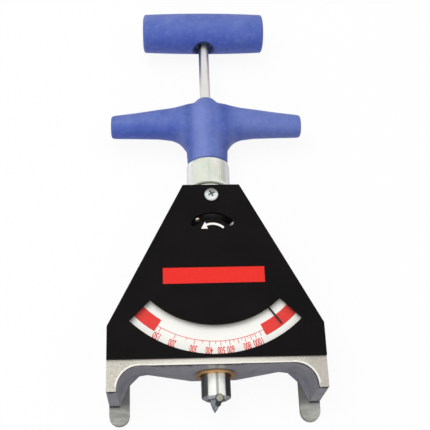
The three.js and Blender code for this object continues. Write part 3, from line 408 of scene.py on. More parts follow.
def moulded_handle(graph):
    graph.fixed(Specular_IOR_Level=0.35)
    bloom = graph.noise(70, 4, 0.6)
    mottle = graph.noise(330, 5, 0.7).step(0.5, 0.72)
    x = graph.part("X")
    y = graph.part("Y")
    away = graph.reach("X", "Z", (0, AXIS.z))
    on_grip = y.step(GRIP_HIGH.y + MM, GRIP_HIGH.y)
    # painted shade: darker on the lower sides of the push handle and the lower parts of the grip's arms, and
    # painted light on the grip's right arm
    shaded_lower_sides = y.step(CAP_CENTRE.y, CAP_CENTRE.y - 12 * MM) * (1 - on_grip)
    lit_right_arm = x.span(15, 24) * on_grip
    arms = (y + lit_right_arm * 4.5 * MM).span(157, 150) * x.size().span(15, 22)
    barrel = on_grip * x.size().span(15, 12)
    # painted highlight down the barrel, and painted shade in the valleys where it meets the arms
    painted_barrel_highlight = barrel * graph.distance("X", -4 * MM).span(7, 1.5)
    painted_valley_shade = graph.distance("X", 11 * MM).span(5, 1)
    painted_valley_shade = painted_valley_shade + graph.distance("X", -12 * MM).span(4, 1) * 0.8
    # painted shade: a near-black ring round the mouth of the bore, and a darker blue inside the bore
    mouth = y.step(CAP_LOW.y - MM, CAP_LOW.y) * y.step(CAP_CENTRE.y, CAP_CENTRE.y - MM)
    painted_shade_lip = away.span(7.4, 7.1) * mouth
    inside = away.span(6.6, 6.54) * mouth
    base = graph.painted(
        bloom.tones(0.35, 0.7, colours().handle, colours().handle_light),
        (lit_right_arm * 0.45, (0.15, 0.205, 0.5)),
        ((shaded_lower_sides + arms * on_grip) * 0.75, (0.035, 0.075, 0.4)),
        (painted_barrel_highlight * 0.6, (0.19, 0.24, 0.55)),
        (painted_valley_shade * on_grip * 0.65, (0.035, 0.065, 0.3)),
        (mottle * 0.3, (0.22, 0.27, 0.56)),
        (painted_shade_lip * 0.96, (0.004, 0.004, 0.012)),
        (inside, (0.07, 0.1, 0.26)),
    )
    grain = graph.noise(1400, 3)
    graph.feed(base, bloom * 0.14 + 0.46, graph.bump(grain + bloom * 0.8, 0.0002, 0.6))


def face_paint(graph):
    graph.fixed(Specular_IOR_Level=0.07)
    cloud = graph.noise(45, 4)
    speck = graph.noise(1300, 2).step(0.66, 0.74)
    base = cloud.tones(0.3, 0.75, colours().plate, (0.006, 0.005, 0.005))
    base = graph.mix(speck * 0.2, base, (0.02, 0.02, 0.02))
    graph.feed(base, cloud * 0.16 + 0.34, graph.bump(graph.noise(1500, 2), 0.00004, 0.4))


def cast_body(graph):
    """Machined bright on the front rim, and a darker skin behind it."""
    graph.fixed(Metallic=0.75)
    height = graph.part("Z")
    y = graph.part("Y")
    side = graph.distance("X", 0)
    edge = sizes().edge_round
    rim = height.step(RIM_TOP - edge, RIM_TOP - edge * 0.9)
    cloud = graph.noise(120, 5, 0.65)
    grit = graph.noise(1500, 3, 0.6)
    # the fingers are paler past the legs, with painted shade darkening them towards the legs, and a painted
    # shadow where the legs end
    flange = height.span(4.8, 4.2)
    leg_line = (side + y * 0.4355).span(46.9, 46.1) * side.span(47.6, 48.4)
    leg_line = leg_line + y.span(-17, -17.6)
    streaks = graph.noise(260, 4, 0.65, stretch=(0.5, 1.6, 1))
    pale = streaks.tones(0.4, 0.65, (0.4, 0.405, 0.37), (0.56, 0.56, 0.51))
    wear_or_painted_shade = graph.mix(y.span(-16, -20), (0.22, 0.22, 0.2), pale)
    painted_leg_end_shadow = y.span(-18.6, -18) * y.span(-17, -17.4)
    painted_leg_end_shadow = painted_leg_end_shadow * side.span(53.4, 54.2) * flange
    # painted reflection of the sleeve's bright bands in the arch above it
    painted_sleeve_reflection = side.span(5, 4) * side.span(0.5, 1.3)
    painted_sleeve_reflection = painted_sleeve_reflection * height.span(26, 28) * y.span(1, 0.5)
    skin = graph.painted(
        cloud.tones(0.3, 0.7, colours().casting_skin, (0.48, 0.475, 0.515)),
        (grit.step(0.5, 0.7) * 0.45, (0.18, 0.18, 0.2)),
        (flange * leg_line * 0.85, wear_or_painted_shade),
        (painted_leg_end_shadow * 0.8, (0.03, 0.03, 0.03)),
        (painted_sleeve_reflection * 0.6, (0.62, 0.64, 0.58)),
    )
    # the machined front, brighter in the middle with painted light, darker on the right leg with painted
    # shade, and with a painted highlight along its lower edge
    marks = graph.noise(1300, 4, 0.65)
    straight_edge_highlight = y.span(-2.3, -2.7) * side.span(43, 42)
    bright = graph.painted(
        marks.tones(0.36, 0.66, colours().casting, (0.76, 0.73, 0.65)),
        (side.span(50, 20) * 0.7, (0.93, 0.9, 0.81)),
        (graph.part("X").span(46, 52) * 0.5, (0.42, 0.4, 0.36)),
        ((straight_edge_highlight + fillet_strip(side, y)) * 0.8, (0.98, 0.96, 0.89)),
    )
    base = graph.mix(rim, skin, bright)
    ragged = graph.noise(420, 3, 0.6)
    burr = (height + ragged * 9 * MM).step(RIM_TOP + 0.7 * MM, RIM_TOP + 1.5 * MM) * (1 - rim)
    burr = burr * y.span(1, 0.5) * side.span(59.6, 59.4)
    base = graph.mix(burr * 0.8, base, (0.05, 0.035, 0.035))
    rough = 0.6 - rim * 0.16 + grit * 0.12
    graph.feed(base, rough, graph.bump(grit + cloud * 0.6, 0.00022, 0.45))


def fillet_strip(side, y):
    """The painted highlight along the fillets between arch and legs."""
    across = side - 42.2 * MM
    along = y + 15.8 * MM
    corner = across.span(-0.8, 0) * along.span(0, 2)
    return hypotenuse(across, along).span(13.7, 13.3) * corner


def zinc_plate(graph, knurled=False):
    graph.fixed(Metallic=1.0)
    tint = graph.noise(110, 2, 0.5)
    sheen = graph.noise(160, 2, 0.5, turn=(0.4, 0.9, 0.2))
    base = tint.tones(0.35, 0.65, colours().zinc, (0.72, 0.79, 0.66))
    base = graph.mix(sheen.step(0.5, 0.72) * 0.6, base, (0.83, 0.77, 0.7))
    metallic = None
    if knurled:
        x = graph.part("X")
        away = graph.reach("X", "Z", (0, AXIS.z))
        # painted shade in the knurl's grooves, heavier on the right
        shaded_groove = away.step(COLLAR_HIGH.x - 0.15 * MM, COLLAR_HIGH.x - 0.5 * MM)
        shaded_groove = shaded_groove * graph.distance("Y", (COLLAR_LOW.y + COLLAR_HIGH.y) / 2).span(6.9, 6.6)
        # painted reflection: the collar's sides are painted near-white and made less metallic
        sides = x.size().span(8, 11)
        base = graph.painted(
            base,
            (shaded_groove * (x.span(0, 7) * 0.42 + 0.05), (0.42, 0.33, 0.31)),
            (sides, (1, 1, 0.98)),
        )
        metallic = 1 - sides * 0.9
    fine = graph.noise(900, 3)
    graph.feed(base, fine * 0.14 + 0.24, graph.bump(fine, 0.00004, 0.35), metallic)


def zinc_knurl(graph):
    zinc_plate(graph, knurled=True)


def bright_screw(graph):
    """Bright pan head, with painted shade on its upper half, round its rim and in its recess."""
    graph.fixed(Metallic=1.0)
    depth = graph.part("Z").step(SCREW_HIGH.z - 0.45 * MM, SCREW_HIGH.z - 1.0 * MM)
    cloud = graph.noise(420, 3)
    away = graph.reach("X", "Y", SCREW)
    # painted shade over the upper half of the head and round its rim, and in the recess
    painted_shade_top = graph.part("Y").step(SCREW.y - 0.2 * MM, SCREW.y + 2.4 * MM)
    painted_shade_top = painted_shade_top + away.span(3.4, 4.2) * 0.5
    base = graph.painted(
        cloud.tones(0.35, 0.65, (0.92, 0.93, 0.9), (0.66, 0.7, 0.7)),
        (painted_shade_top * 0.85, (0.14, 0.15, 0.14)),
        (depth * away.span(2.2, 1.9) * 0.9, (0.05, 0.09, 0.11)),
    )
    graph.feed(base, cloud * 0.12 + 0.16)


def ground_steel(graph):
    """Fine grinding rings round the plunger axis."""
    graph.fixed(Metallic=1.0)
    rings = graph.noise(1600, 3, 0.6, stretch=(0.04, 1, 0.04))
    cloud = graph.noise(150, 4, 0.6)
    base = cloud.tones(0.35, 0.7, colours().steel, (0.7, 0.71, 0.7))
    graph.feed(base, rings * 0.06 + cloud * 0.06 + 0.1, graph.bump(rings, 0.00003, 0.35))


def banded_steel(graph):
    """Steel with painted reflections: two bright bands along it, dark sides, a dark line down the middle and
    a grey-blue tip.
    """
    rings = graph.noise(1600, 3, 0.6, stretch=(0.04, 1, 0.04))
    # painted reflections: dark sides, darker on the right, a dark line down the middle and a grey-blue tip;
    # the middle is less metallic so that the painted bands show
    sides = graph.distance("X", 0).span(4.4, 5.2)
    streaks = graph.noise(900, 2, 0.5, stretch=(1, 0.02, 1))
    dark_reflection = streaks.tones(0.45, 0.6, (0.13, 0.14, 0.14), (0.26, 0.28, 0.27))
    dark_reflection = graph.mix(graph.part("X").span(4, 5) * 0.7, dark_reflection, (0.05, 0.055, 0.055))
    painted_centre_line = graph.distance("X", 0.3 * MM).span(1.1, 0.35)
    cone = graph.part("Y").step(SLEEVE_LOW.y + 0.75 * MM, SLEEVE_LOW.y + 0.6 * MM)
    grey = streaks.tones(0.4, 0.65, (0.62, 0.66, 0.7), (0.86, 0.92, 0.96))
    base = graph.painted(
        rings.tones(0.35, 0.7, (0.94, 0.94, 0.88), (0.84, 0.85, 0.8)),
        (sides, dark_reflection),
        (painted_centre_line * 0.85, (0.3, 0.32, 0.3)),
        (cone, grey),
    )
    graph.feed(base, rings * 0.08 + 0.22, graph.bump(rings, 0.00003, 0.35), sides * 0.35 + 0.55)


def rod_steel(graph):
    """Dull chromed rod with a faint warm tint, and painted shade along its left and right edges."""
    graph.fixed(Metallic=1.0)
    cloud = graph.noise(90, 3, 0.6, stretch=(1, 0.3, 1))
    x = graph.part("X")
    y = graph.part("Y")
    left_shade_widening = y.span(180, 216) * 1.5 * MM
    base = graph.painted(
        cloud.tones(0.4, 0.62, colours().rod, (0.78, 0.7, 0.69)),
        # painted shade: dark blue along the left edge, widening up the rod, and darker along the right edge;
        # the lower end is greener
        ((x - left_shade_widening).span(-2.9, -3.4) * 0.85, (0.1, 0.11, 0.2)),
        (y.span(196, 182) * 0.5, (0.8, 0.82, 0.72)),
        (x.span(2.1, 2.8) * 0.75, (0.38, 0.33, 0.31)),
    )
    fine = graph.noise(1200, 3)
    graph.feed(base, fine * 0.1 + 0.36, graph.bump(fine, 0.00003, 0.3))


def sawn_steel(graph):
    """The cut end of the hook's pin, with its saw marks, and painted shade on its side and in a ring round
    its end.
    """
    graph.fixed(Metallic=0.7)
    marks = graph.noise(1900, 3, 0.6, stretch=(1, 0.15, 1), turn=(0, 0, 0.9))
    base = marks.tones(0.42, 0.58, (0.44, 0.43, 0.36), (0.17, 0.165, 0.13))
    # painted shade on the pin's side and in a ring round its end face
    side = graph.part("Z").step(HOOK_PIN_TOP - 0.1 * MM, HOOK_PIN_TOP - 0.3 * MM)
    ring = graph.reach("X", "Y", HOOK_PIN).span(1.75, 1.95)
    base = graph.mix((side + ring) * 0.9, base, (0.04, 0.04, 0.035))
    graph.feed(base, marks * 0.2 + 0.34, graph.bump(marks, 0.00008, 0.6))


def hook_steel(graph):
    """Hardened steel with a dull blue-grey skin."""
    graph.fixed(Metallic=0.55)
    cloud = graph.noise(500, 4, 0.6)
    base = cloud.tones(0.4, 0.65, (0.2, 0.225, 0.245), (0.4, 0.43, 0.45))
    graph.feed(base, cloud * 0.2 + 0.42, graph.bump(cloud, 0.0001, 0.5))


def spring_steel(graph):
    graph.fixed(Metallic=1.0)
    oil = graph.noise(180, 4)
    graph.feed(oil.tones(0.35, 0.7, colours().spring, (0.2, 0.2, 0.21)), oil * 0.2 + 0.24)


def bearing_bronze(graph):
    graph.fixed(Metallic=0.85)
    cloud = graph.noise(240, 4, 0.65)
    pores = graph.noise(2200, 2).step(0.62, 0.72)
    base = cloud.tones(0.3, 0.7, colours().bronze, (0.78, 0.48, 0.21))
    base = graph.mix(pores * 0.5, base, (0.1, 0.06, 0.03))
    graph.feed(base, cloud * 0.2 + 0.32, graph.bump(pores, 0.00004, -0.4))


def worn_pin(graph):
    """Blackened steel, with a painted highlight along one edge."""
    graph.fixed(Metallic=0.3)
    highlight_centre = centre_of("reset_pin") + Vector((0.25, 0.65, 0)) * MM
    x = graph.part("X") - highlight_centre.x
    y = graph.part("Y") - highlight_centre.y
    along = x * 0.93 + y * 0.37
    across = y * 0.93 - x * 0.37
    # a painted highlight along one edge of the pin's end
    painted_highlight = along.size().span(1.2, 1.0) * across.size().span(0.5, 0.3)
    cloud = graph.noise(800, 3)
    base = graph.mix(cloud, (0.008, 0.008, 0.008), (0.02, 0.018, 0.016))
    graph.feed(graph.mix(painted_highlight, base, (0.78, 0.66, 0.47)), cloud * 0.2 + 0.4)


def lit_wall(graph):
    """A sheet in the slot: painted shade, with a painted pool of light at its right end."""
    graph.fixed(Specular_IOR_Level=0.07)
    cloud = graph.noise(700, 3)
    end = graph.mix(cloud, (0.62, 0.6, 0.57), (0.48, 0.465, 0.44))
    base = graph.mix(graph.part("X").span(10, 12) * 0.75, (0.08, 0.078, 0.075), end)
    graph.feed(base, cloud * 0.1 + 0.4)


def dial_ground(graph):
    """The dial's white, with black under the curved slot."""
    cloud = graph.noise(60, 3)
    base = cloud.tones(0.3, 0.75, colours().dial, (0.9, 0.885, 0.83))
    base = graph.mix(graph.reach("X", "Y", PIVOT).span(24, 23), base, (0.006, 0.006, 0.006))
    graph.feed(base, cloud * 0.1 + 0.45, graph.bump(graph.noise(1800, 2), 0.00002, 0.3))


def ink(graph, colour, wear_or_painted_shade):
    """A printed layer, with a little unevenness in its cover."""
    graph.fixed(Specular_IOR_Level=0.3)
    cover = graph.noise(700, 4, 0.6).step(0.42, 0.72)
    graph.feed(graph.mix(cover * 0.5, colour, wear_or_painted_shade), cover * 0.1 + 0.45)


def red_ink(graph):
    ink(graph, colours().print_red, (0.79, 0.036, 0.027))


def white_ink(graph):
    ink(graph, colours().print_white, (0.8, 0.78, 0.72))


def clear_sheet(graph):
    graph.fixed(Alpha=0.015, Specular_IOR_Level=0.4)
    haze = graph.noise(90, 3)
    graph.feed(graph.mix(haze, (0.9, 0.93, 0.93), (0.84, 0.88, 0.88)), haze * 0.05 + 0.05)


FINISHES = {
    fill.__name__: fill for fill in (
        moulded_handle, face_paint, cast_body, zinc_plate, zinc_knurl, bright_screw, ground_steel,
        banded_steel, rod_steel, sawn_steel, hook_steel, spring_steel, bearing_bronze, worn_pin,
        lit_wall, dial_ground, red_ink, white_ink, clear_sheet,
    )
}


def finish(name):
    """The finish of that name, made when it is first asked for."""
    material = bpy.data.materials.get(name)
    if not material:
        material, graph = new_material(name)
        FINISHES[name](graph)
    return material


def new_material(name):
    material = bpy.data.materials.new(name)
    material.use_nodes = True
    return material, Graph(material.node_tree)


def refinish(name, *nodes):
    """Gives CAD solids a finish."""
    for node in nodes:
        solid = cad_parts[node]
        if not solid.data.materials:
            solid.data.materials.append(finish(name))
        for slot in solid.material_slots:
            slot.material = finish(name)


# Mesh building

def mesh_from(bm, name):
    """Turns a mesh in progress into a mesh."""
    mesh = bpy.data.meshes.new(name)
    bm.to_mesh(mesh)
    bm.free()
    return mesh


def linked(name, data):
    """A new object in the scene."""
    item = bpy.data.objects.new(name, data)
    bpy.context.scene.collection.objects.link(item)
    return item


def evaluated(item):
    """An object as its modifiers leave it."""
    bpy.context.view_layer.update()
    return item.evaluated_get(bpy.context.evaluated_depsgraph_get())


def welded(bm):
    """Merges doubled vertices and turns the faces outwards."""
    bmesh.ops.remove_doubles(bm, verts=bm.verts, dist=WELD)
    bmesh.ops.recalc_face_normals(bm, faces=bm.faces)
    return bm


def settle(name, bm, material, replaced=None, body="frame", sharp=SMOOTH_BELOW):
    """Makes the piece of a mesh in progress and puts it on its body."""
    mesh = mesh_from(welded(bm), name)
    mesh.materials.append(finish(material))
    mesh.shade_smooth()
    mesh.set_sharp_from_angle(angle=sharp)
    piece = linked(name, mesh)
    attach(piece, body)
    even = piece.modifiers.new("even", "WEIGHTED_NORMAL")
    even.keep_sharp = True
    if replaced:
        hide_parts(replaced)
    return piece


def spin(bm, geometry, centre, axis, angle, steps, lift=(0, 0, 0), merge=False):
    """Sweeps geometry round an axis, with a lift at each step."""
    bmesh.ops.spin(
        bm, geom=geometry, cent=centre, axis=axis, dvec=lift, angle=angle, steps=steps,
        use_merge=merge, use_duplicate=False,
    )


def spun(profile, steps=TURNED_STEPS, axis=ALONG_Y, centre=AXIS):
    """A turned solid: the profile's points are radius and place along the axis."""
    bm = bmesh.new()
    ring = [bm.verts.new(spun_point(r, s, axis, centre)) for r, s in profile]
    edges = [bm.edges.new(pair) for pair in zip(ring, ring[1:])]
    spin(bm, ring + edges, centre, axis, 2 * math.pi, steps, merge=True)
    return welded(bm)


def spun_point(radius, place, axis, centre):
    if axis == ALONG_Y:
        return (centre[0] + radius, place, centre[2])
    if axis == ALONG_X:
        return (place, centre[1] + radius, centre[2])
    return (centre[0] + radius, centre[1], place)


def quarter(steps, first=0):
    """Sines and cosines round a quarter turn."""
    angles = [math.radians(step * 90 / steps) for step in range(first, steps + 1)]
    return [(math.sin(angle), math.cos(angle)) for angle in angles]


def closed(profile):
    return (*profile, profile[0])


def round_edges(bm, width, segments=2):
    """Rounds over every edge that isn't shaded smooth."""
    bm.normal_update()
    edges = [e for e in bm.edges if e.is_manifold and e.calc_face_angle() > SMOOTH_BELOW]
    bmesh.ops.bevel(
        bm, geom=edges, offset=width, offset_type="OFFSET", segments=segments, profile=0.5,
        affect="EDGES", clamp_overlap=True, material=-1,
    )
    return bm


def new_verts(grown):
    """The vertices that an operation made."""
    return [v for v in grown["geom"] if isinstance(v, bmesh.types.BMVert)]


def raised(bm, faces, height):
    """Pushes flat faces up into a layer."""
    grown = bmesh.ops.extrude_face_region(bm, geom=faces)
    bmesh.ops.translate(bm, verts=new_verts(grown), vec=(0, 0, height))


def printed_polygon(bm, corners, level, height, start=Vector()):
    """A raised polygon: its corners are in millimetres from the start."""
    verts = [bm.verts.new((start.x + x * MM, start.y + y * MM, level)) for x, y in corners]
    raised(bm, [bm.faces.new(verts)], height)


def round_pivot(angle, radius, level):
    """A place round the pivot: degrees from straight down, and millimetres."""
    turn = math.radians(angle)
    return Vector((radius * math.sin(turn) * MM, PIVOT.y - radius * math.cos(turn) * MM, level))


def printed_arc(bm, band, level, height, steps=64):
    """A band round the pivot."""
    inner, outer, start, end = band
    before = set(bm.faces)
    edge = bm.edges.new([bm.verts.new(round_pivot(start, radius, level)) for radius in (inner, outer)])
    spin(bm, [edge], PIVOT, ALONG_Z, math.radians(end - start), steps)
    raised(bm, [f for f in bm.faces if f not in before], height)


def add_block(bm, size, place):
    bmesh.ops.create_cube(bm, size=1, matrix=place @ Matrix.Diagonal((*size, 1)))
    return bm


def turned(degrees, axis="Z"):
    return Matrix.Rotation(math.radians(degrees), 4, axis)


def printed_stroke(bm, angle, stroke, level, height):
    """A stroke across the scale."""
    inner, outer, width = stroke
    middle = Matrix.Translation((0, -(inner + outer) / 2 * MM, level + height / 2))
    place = Matrix.Translation(PIVOT) @ turned(angle) @ middle
    add_block(bm, (width * MM, (outer - inner) * MM, height), place)


def numeral(text, angle, level, thickness):
    """A printed number whose top points away from the pivot, as a mesh in its place."""
    curve = bpy.data.curves.new("numeral", "FONT")
    curve.body = text
    curve.extrude = thickness / 2
    curve.offset = NUMERAL_BOLDNESS
    curve.resolution_u = 4
    holder = linked("numeral", curve)
    mesh = bpy.data.meshes.new_from_object(evaluated(holder))
    bpy.data.objects.remove(holder)
    bpy.data.curves.remove(curve)
    xs = [v.co.x for v in mesh.vertices]
    ys = [v.co.y for v in mesh.vertices]
    centre = Matrix.Translation((-(min(xs) + max(xs)) / 2, -(min(ys) + max(ys)) / 2, 0))
    width = DIGIT_WIDTH * len(text) * MM
    fit = Matrix.Diagonal((width / (max(xs) - min(xs)), NUMERAL_HEIGHT * MM / (max(ys) - min(ys)), 1, 1))
    where = Matrix.Translation(round_pivot(angle, NUMERAL_RADIUS, level + thickness / 2))
    mesh.transform(where @ turned(angle + 180) @ fit @ centre)
    return mesh


def from_solid(node):
    """A merged copy of a CAD solid, with flat areas joined into single faces."""
    bm = bmesh.new()
    bm.from_mesh(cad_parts[node].data)
    bmesh.ops.remove_doubles(bm, verts=bm.verts, dist=WELD)
    bmesh.ops.dissolve_limit(
        bm, angle_limit=math.radians(0.6), use_dissolve_boundaries=False,
        verts=bm.verts, edges=bm.edges,
    )
    return bm


def combined(base, tool, operation="DIFFERENCE"):
    """Two meshes in progress, cut or joined."""
    objects = [linked("combined", mesh_from(bm, "combined")) for bm in (base, tool)]
    modifier = objects[0].modifiers.new("combine", "BOOLEAN")
    modifier.operation = operation
    modifier.object = objects[1]
    modifier.solver = "EXACT"
    return applied(objects)


def applied(objects):
    """The first object's mesh with its modifiers, as a mesh in progress; the objects go."""
    shown = evaluated(objects[0])
    bm = bmesh.new()
    bm.from_mesh(shown.to_mesh())
    shown.to_mesh_clear()
    for holder in objects:
        mesh = holder.data
        bpy.data.objects.remove(holder)
        bpy.data.meshes.remove(mesh)
    return bm


def cylinder(radius, low, high, axis=ALONG_Y, centre=AXIS, steps=SMALL_STEPS):
    return spun(((0, low), (radius, low), (radius, high), (0, high)), steps, axis, centre)


def coil(wire, mean, low, high, turns, steps=28, sides=10):
    """A wound spring on the plunger axis, with its wire's ends closed."""
    bm = bmesh.new()
    start = Matrix.Translation((mean, low + wire / 2, AXIS.z))
    ring = bmesh.ops.create_circle(bm, cap_ends=True, segments=sides, radius=wire / 2, matrix=start)
    count = steps * turns
    lift = (0, (high - low - wire) / count, 0)
    spin(bm, bm.faces[:] + bm.edges[:] + ring["verts"], AXIS, ALONG_Y, 2 * math.pi * turns, count, lift)
    return bm


# Stage

def add_camera():
    data = bpy.data.cameras.new("camera")
    data.sensor_fit = "HORIZONTAL"
    data.sensor_width = 36
    data.lens = CAMERA_LENS
    data.clip_start = 0.01
    camera = linked("camera", data)
    turn = Matrix(CAMERA_AXES).transposed().to_4x4()
    camera.matrix_world = Matrix.Translation(CAMERA_PLACE) @ turn
    bpy.context.scene.camera = camera


def add_floor():
    """White to the camera and in reflections, and a soft grey to the light."""
    material, graph = new_material("floor")
    material.node_tree.nodes.clear()
    grey = (FLOOR_SHADE, FLOOR_SHADE, FLOOR_SHADE, 1)
    diffuse = graph.add("BsdfDiffuse", {"Color": grey}, output="BSDF")
    white = graph.add("Emission", {"Color": (1, 1, 1, 1)}, output="Emission")
    seen = seen_rays(graph) * FLOOR_GLOW
    mixed = graph.add("MixShader", {0: seen, 1: diffuse, 2: white}, output="Shader")
    graph.add("OutputMaterial", {"Surface": mixed})
    add_card("floor", material, Matrix.Translation((0, 0, -FLOOR_DROP)), FLOOR_REACH, FLOOR_REACH)


def seen_rays(graph):
    """1 for the rays that show the background itself."""
    camera, glossy, through = [
        graph.add("LightPath", output=f"Is {kind} Ray") for kind in ("Camera", "Glossy", "Transmission")
    ]
    return camera.larger(glossy).larger(through)


def add_card(name, material, place, length, width):
    bm = bmesh.new()
    shape = Matrix.Diagonal((length, width, 1, 1))
    bmesh.ops.create_grid(bm, x_segments=1, y_segments=1, size=1, matrix=place @ shape)
    mesh = mesh_from(bm, name)
    mesh.materials.append(material)
    card = linked(name, mesh)
    return card


def add_cards():
    """Cards round the gauge, which only reflections show."""
    for name, shade, (length, width), centre, (about_z, about_x) in CARDS:
        material, graph = new_material(name)
        material.node_tree.nodes.clear()
        tint = (shade, shade * 0.97, shade * 1.04, 1)
        glow = graph.add("Emission", {"Color": tint}, output="Emission")
        graph.add("OutputMaterial", {"Surface": glow})
        place = Matrix.Translation(centre) @ turned(about_z) @ turned(about_x, "X")
        card = add_card(name, material, place, length / 2, width / 2)
        for ray in ("camera", "diffuse", "shadow", "transmission"):
            setattr(card, "visible_" + ray, False)


def add_lights():
    for name, place, power in LAMPS:
        data = bpy.data.lights.new(name, "AREA")
        data.shape = "SQUARE"
        data.size = LAMP_SIZE
        data.energy = power
        light = linked(name, data)
        light.location = place
        light.visible_glossy = False
        light.rotation_euler = (LAMP_TARGET - Vector(place)).to_track_quat("-Z", "Y").to_euler()


def set_world():
    world = bpy.data.worlds.new("studio")
    world.use_nodes = True
    bpy.context.scene.world = world
    graph = Graph(world.node_tree)
    background = world.node_tree.nodes["Background"]
    strength = seen_rays(graph) * WORLD_GLOW + WORLD_LIGHT
    graph.tree.links.new(strength.socket, background.inputs["Strength"])
    background.inputs["Color"].default_value = (1, 1, 1, 1)


# Pieces of several steps

def add_collar():
    radius = COLLAR_HIGH.x
    depth = sizes().knurl_depth
    plain = radius - depth
    low, high = COLLAR_LOW.y, COLLAR_HIGH.y
    count = 2 * sizes().knurl_ridges
    bm = bmesh.new()
    place = Matrix.Translation((0, low, AXIS.z)) @ turned(-90, "X")
    bmesh.ops.create_circle(bm, segments=count, radius=TUBE_SEAT, matrix=place)
    slope_end = COLLAR_BAND + COLLAR_SLOPE
    # radius and place of each ring, and whether it is knurled
    rings = (
        (plain - COLLAR_CHAMFER, low, 0), (plain, low + COLLAR_CHAMFER, 0), (plain, low + COLLAR_BAND, 0),
        (radius, low + slope_end, 1), (radius, high - slope_end, 1), (plain, high - COLLAR_BAND, 0),
        (plain, high - COLLAR_CHAMFER, 0), (plain - COLLAR_CHAMFER, high, 0), (TUBE_SEAT, high, 0),
    )
    edges = bm.edges[:]
    for ring_radius, place, knurled in rings:
        grown = bmesh.ops.extrude_edge_only(bm, edges=edges)
        edges = [e for e in grown["geom"] if isinstance(e, bmesh.types.BMEdge)]
        for vert in new_verts(grown):
            angle = math.atan2(vert.co.z - AXIS.z, vert.co.x)
            odd = round(angle / (2 * math.pi / count)) % 2
            reach = ring_radius - knurled * odd * depth * 2
            vert.co = (reach * math.cos(angle), place, AXIS.z + reach * math.sin(angle))
    bmesh.ops.bridge_loops(bm, edges=[e for e in bm.edges if e.is_boundary])
    settle("knurled_collar_body", bm, "zinc_knurl", "knurled_collar", sharp=KNURL_SHARP)


def add_rod():
    rod = cylinder(ROD_HIGH.x, ROD_LOW.y, ROD_HIGH.y, steps=TURNED_STEPS)
    round_edges(rod, 0.5 * MM, 3)
    settle("push_rod_shaft", rod, "rod_steel", "push_rod", "hook")


def add_bush():
    low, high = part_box("plunger_bush")
    bore, spigot = 8.65 * MM, 9.8 * MM
    shoulder = low.y + 1.2 * MM
    bush = spun(closed((
        (bore, low.y), (high.x, low.y), (high.x, shoulder), (spigot, shoulder),
        (spigot, high.y), (bore, high.y),
    )))
    round_edges(bush, 0.25 * MM, 3)
    settle("bush_flange", bush, "bearing_bronze", "plunger_bush")


def add_sleeve():
    inside, outside, neck = 4.4 * MM, 8.25 * MM, 6.4 * MM
    flange, flange_low, flange_high = 10.5 * MM, 10.9 * MM, 13.9 * MM
    mouth, mouth_low, mouth_high = 5.35 * MM, -15 * MM, -14 * MM
    cone, cone_low, cone_high = 6.1 * MM, SLEEVE_LOW.y - 0.6 * MM, SLEEVE_LOW.y + 0.7 * MM
    sleeve = spun(closed((
        (inside, mouth_high), (mouth, mouth_low), (mouth, cone_low), (cone, cone_low),
        (outside, cone_high), (outside, flange_low),
        (flange, flange_low), (flange, flange_high), (neck, flange_high),
        (neck, SLEEVE_HIGH.y), (inside, SLEEVE_HIGH.y),
    )))
    round_edges(sleeve, 0.3 * MM, 3)
    settle("feeler_sleeve_body", sleeve, "banded_steel", "feeler_sleeve", "sleeve")


def add_hook():
    stud = cylinder(STUD_RADIUS, STUD_LOW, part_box("hook_tip")[1].y)
    tip = combined(cylinder(*SHANK), stud, "UNION")
    point = bmesh.new()
    printed_polygon(point, POINT_OUTLINE, AXIS.z - POINT_THICKNESS / 2, POINT_THICKNESS)
    tip = combined(tip, point, "UNION")
    round_edges(tip, 0.2 * MM)
    settle("hook_point", tip, "hook_steel", "hook_tip", "hook")
    head_low = HOOK_PIN_TOP - CROSS_PIN_HEAD_LENGTH
    pin = spun((
        (0, CROSS_PIN_SEAT), (CROSS_PIN_NECK, CROSS_PIN_SEAT), (CROSS_PIN_NECK, head_low),
        (CROSS_PIN_HEAD, head_low), (CROSS_PIN_HEAD, HOOK_PIN_TOP), (0, HOOK_PIN_TOP),
    ), SMALL_STEPS, ALONG_Z, CROSS_PIN_PLACE)
    round_edges(pin, 0.38 * MM, 3)
    settle("hook_cross_pin", pin, "sawn_steel", "hook_pin", "hook")


def grip_trimmer():
    """A block that cuts the grip's mouth flat."""
    width, height = 60 * MM, 10 * MM
    place = Matrix.Translation((0, GRIP_LOW.y - height / 2, AXIS.z))
    return add_block(bmesh.new(), (width, height, width), place)


def grip_arms():
    """Both arms in one piece, lofted through their sections."""
    places = [(-section[0], section) for section in GRIP_SECTIONS]
    places += [(section[0], section) for section in reversed(GRIP_SECTIONS)]
    bm = bmesh.new()
    loops = []
    for side, (_, drop, rise, depth) in places:
        low = GRIP_ARM_LOW - drop * (GRIP_ARM_LOW - GRIP_LOW.y)
        high = GRIP_ARM_LOW + rise * (GRIP_HIGH.y - GRIP_ARM_LOW)
        place = Matrix.Translation((side * GRIP_HIGH.x, (low + high) / 2, AXIS.z)) @ turned(90, "Y")
        shape = Matrix.Diagonal((depth * GRIP_BARREL_RADIUS, (high - low) / 2, 1, 1))
        before = set(bm.edges)
        bmesh.ops.create_circle(bm, segments=SMALL_STEPS, radius=1, matrix=place @ shape)
        loops.append([e for e in bm.edges if e not in before])
    for first, second in zip(loops, loops[1:]):
        bmesh.ops.bridge_loops(bm, edges=first + second)
    bmesh.ops.holes_fill(bm, edges=[e for e in bm.edges if e.is_boundary], sides=0)
    bmesh.ops.recalc_face_normals(bm, faces=bm.faces)
    return bm


# Operators

class GAUGE_OT_stage(bpy.types.Operator):
    """Adds the floor, the soft lights, the world and the camera"""
    bl_idname = "gauge.stage"
    bl_label = "Stage"

    def execute(self, context):
        add_camera()
        add_floor()
        add_cards()
        add_lights()
        set_world()
        context.scene.view_settings.view_transform = "Standard"
        return {"FINISHED"}


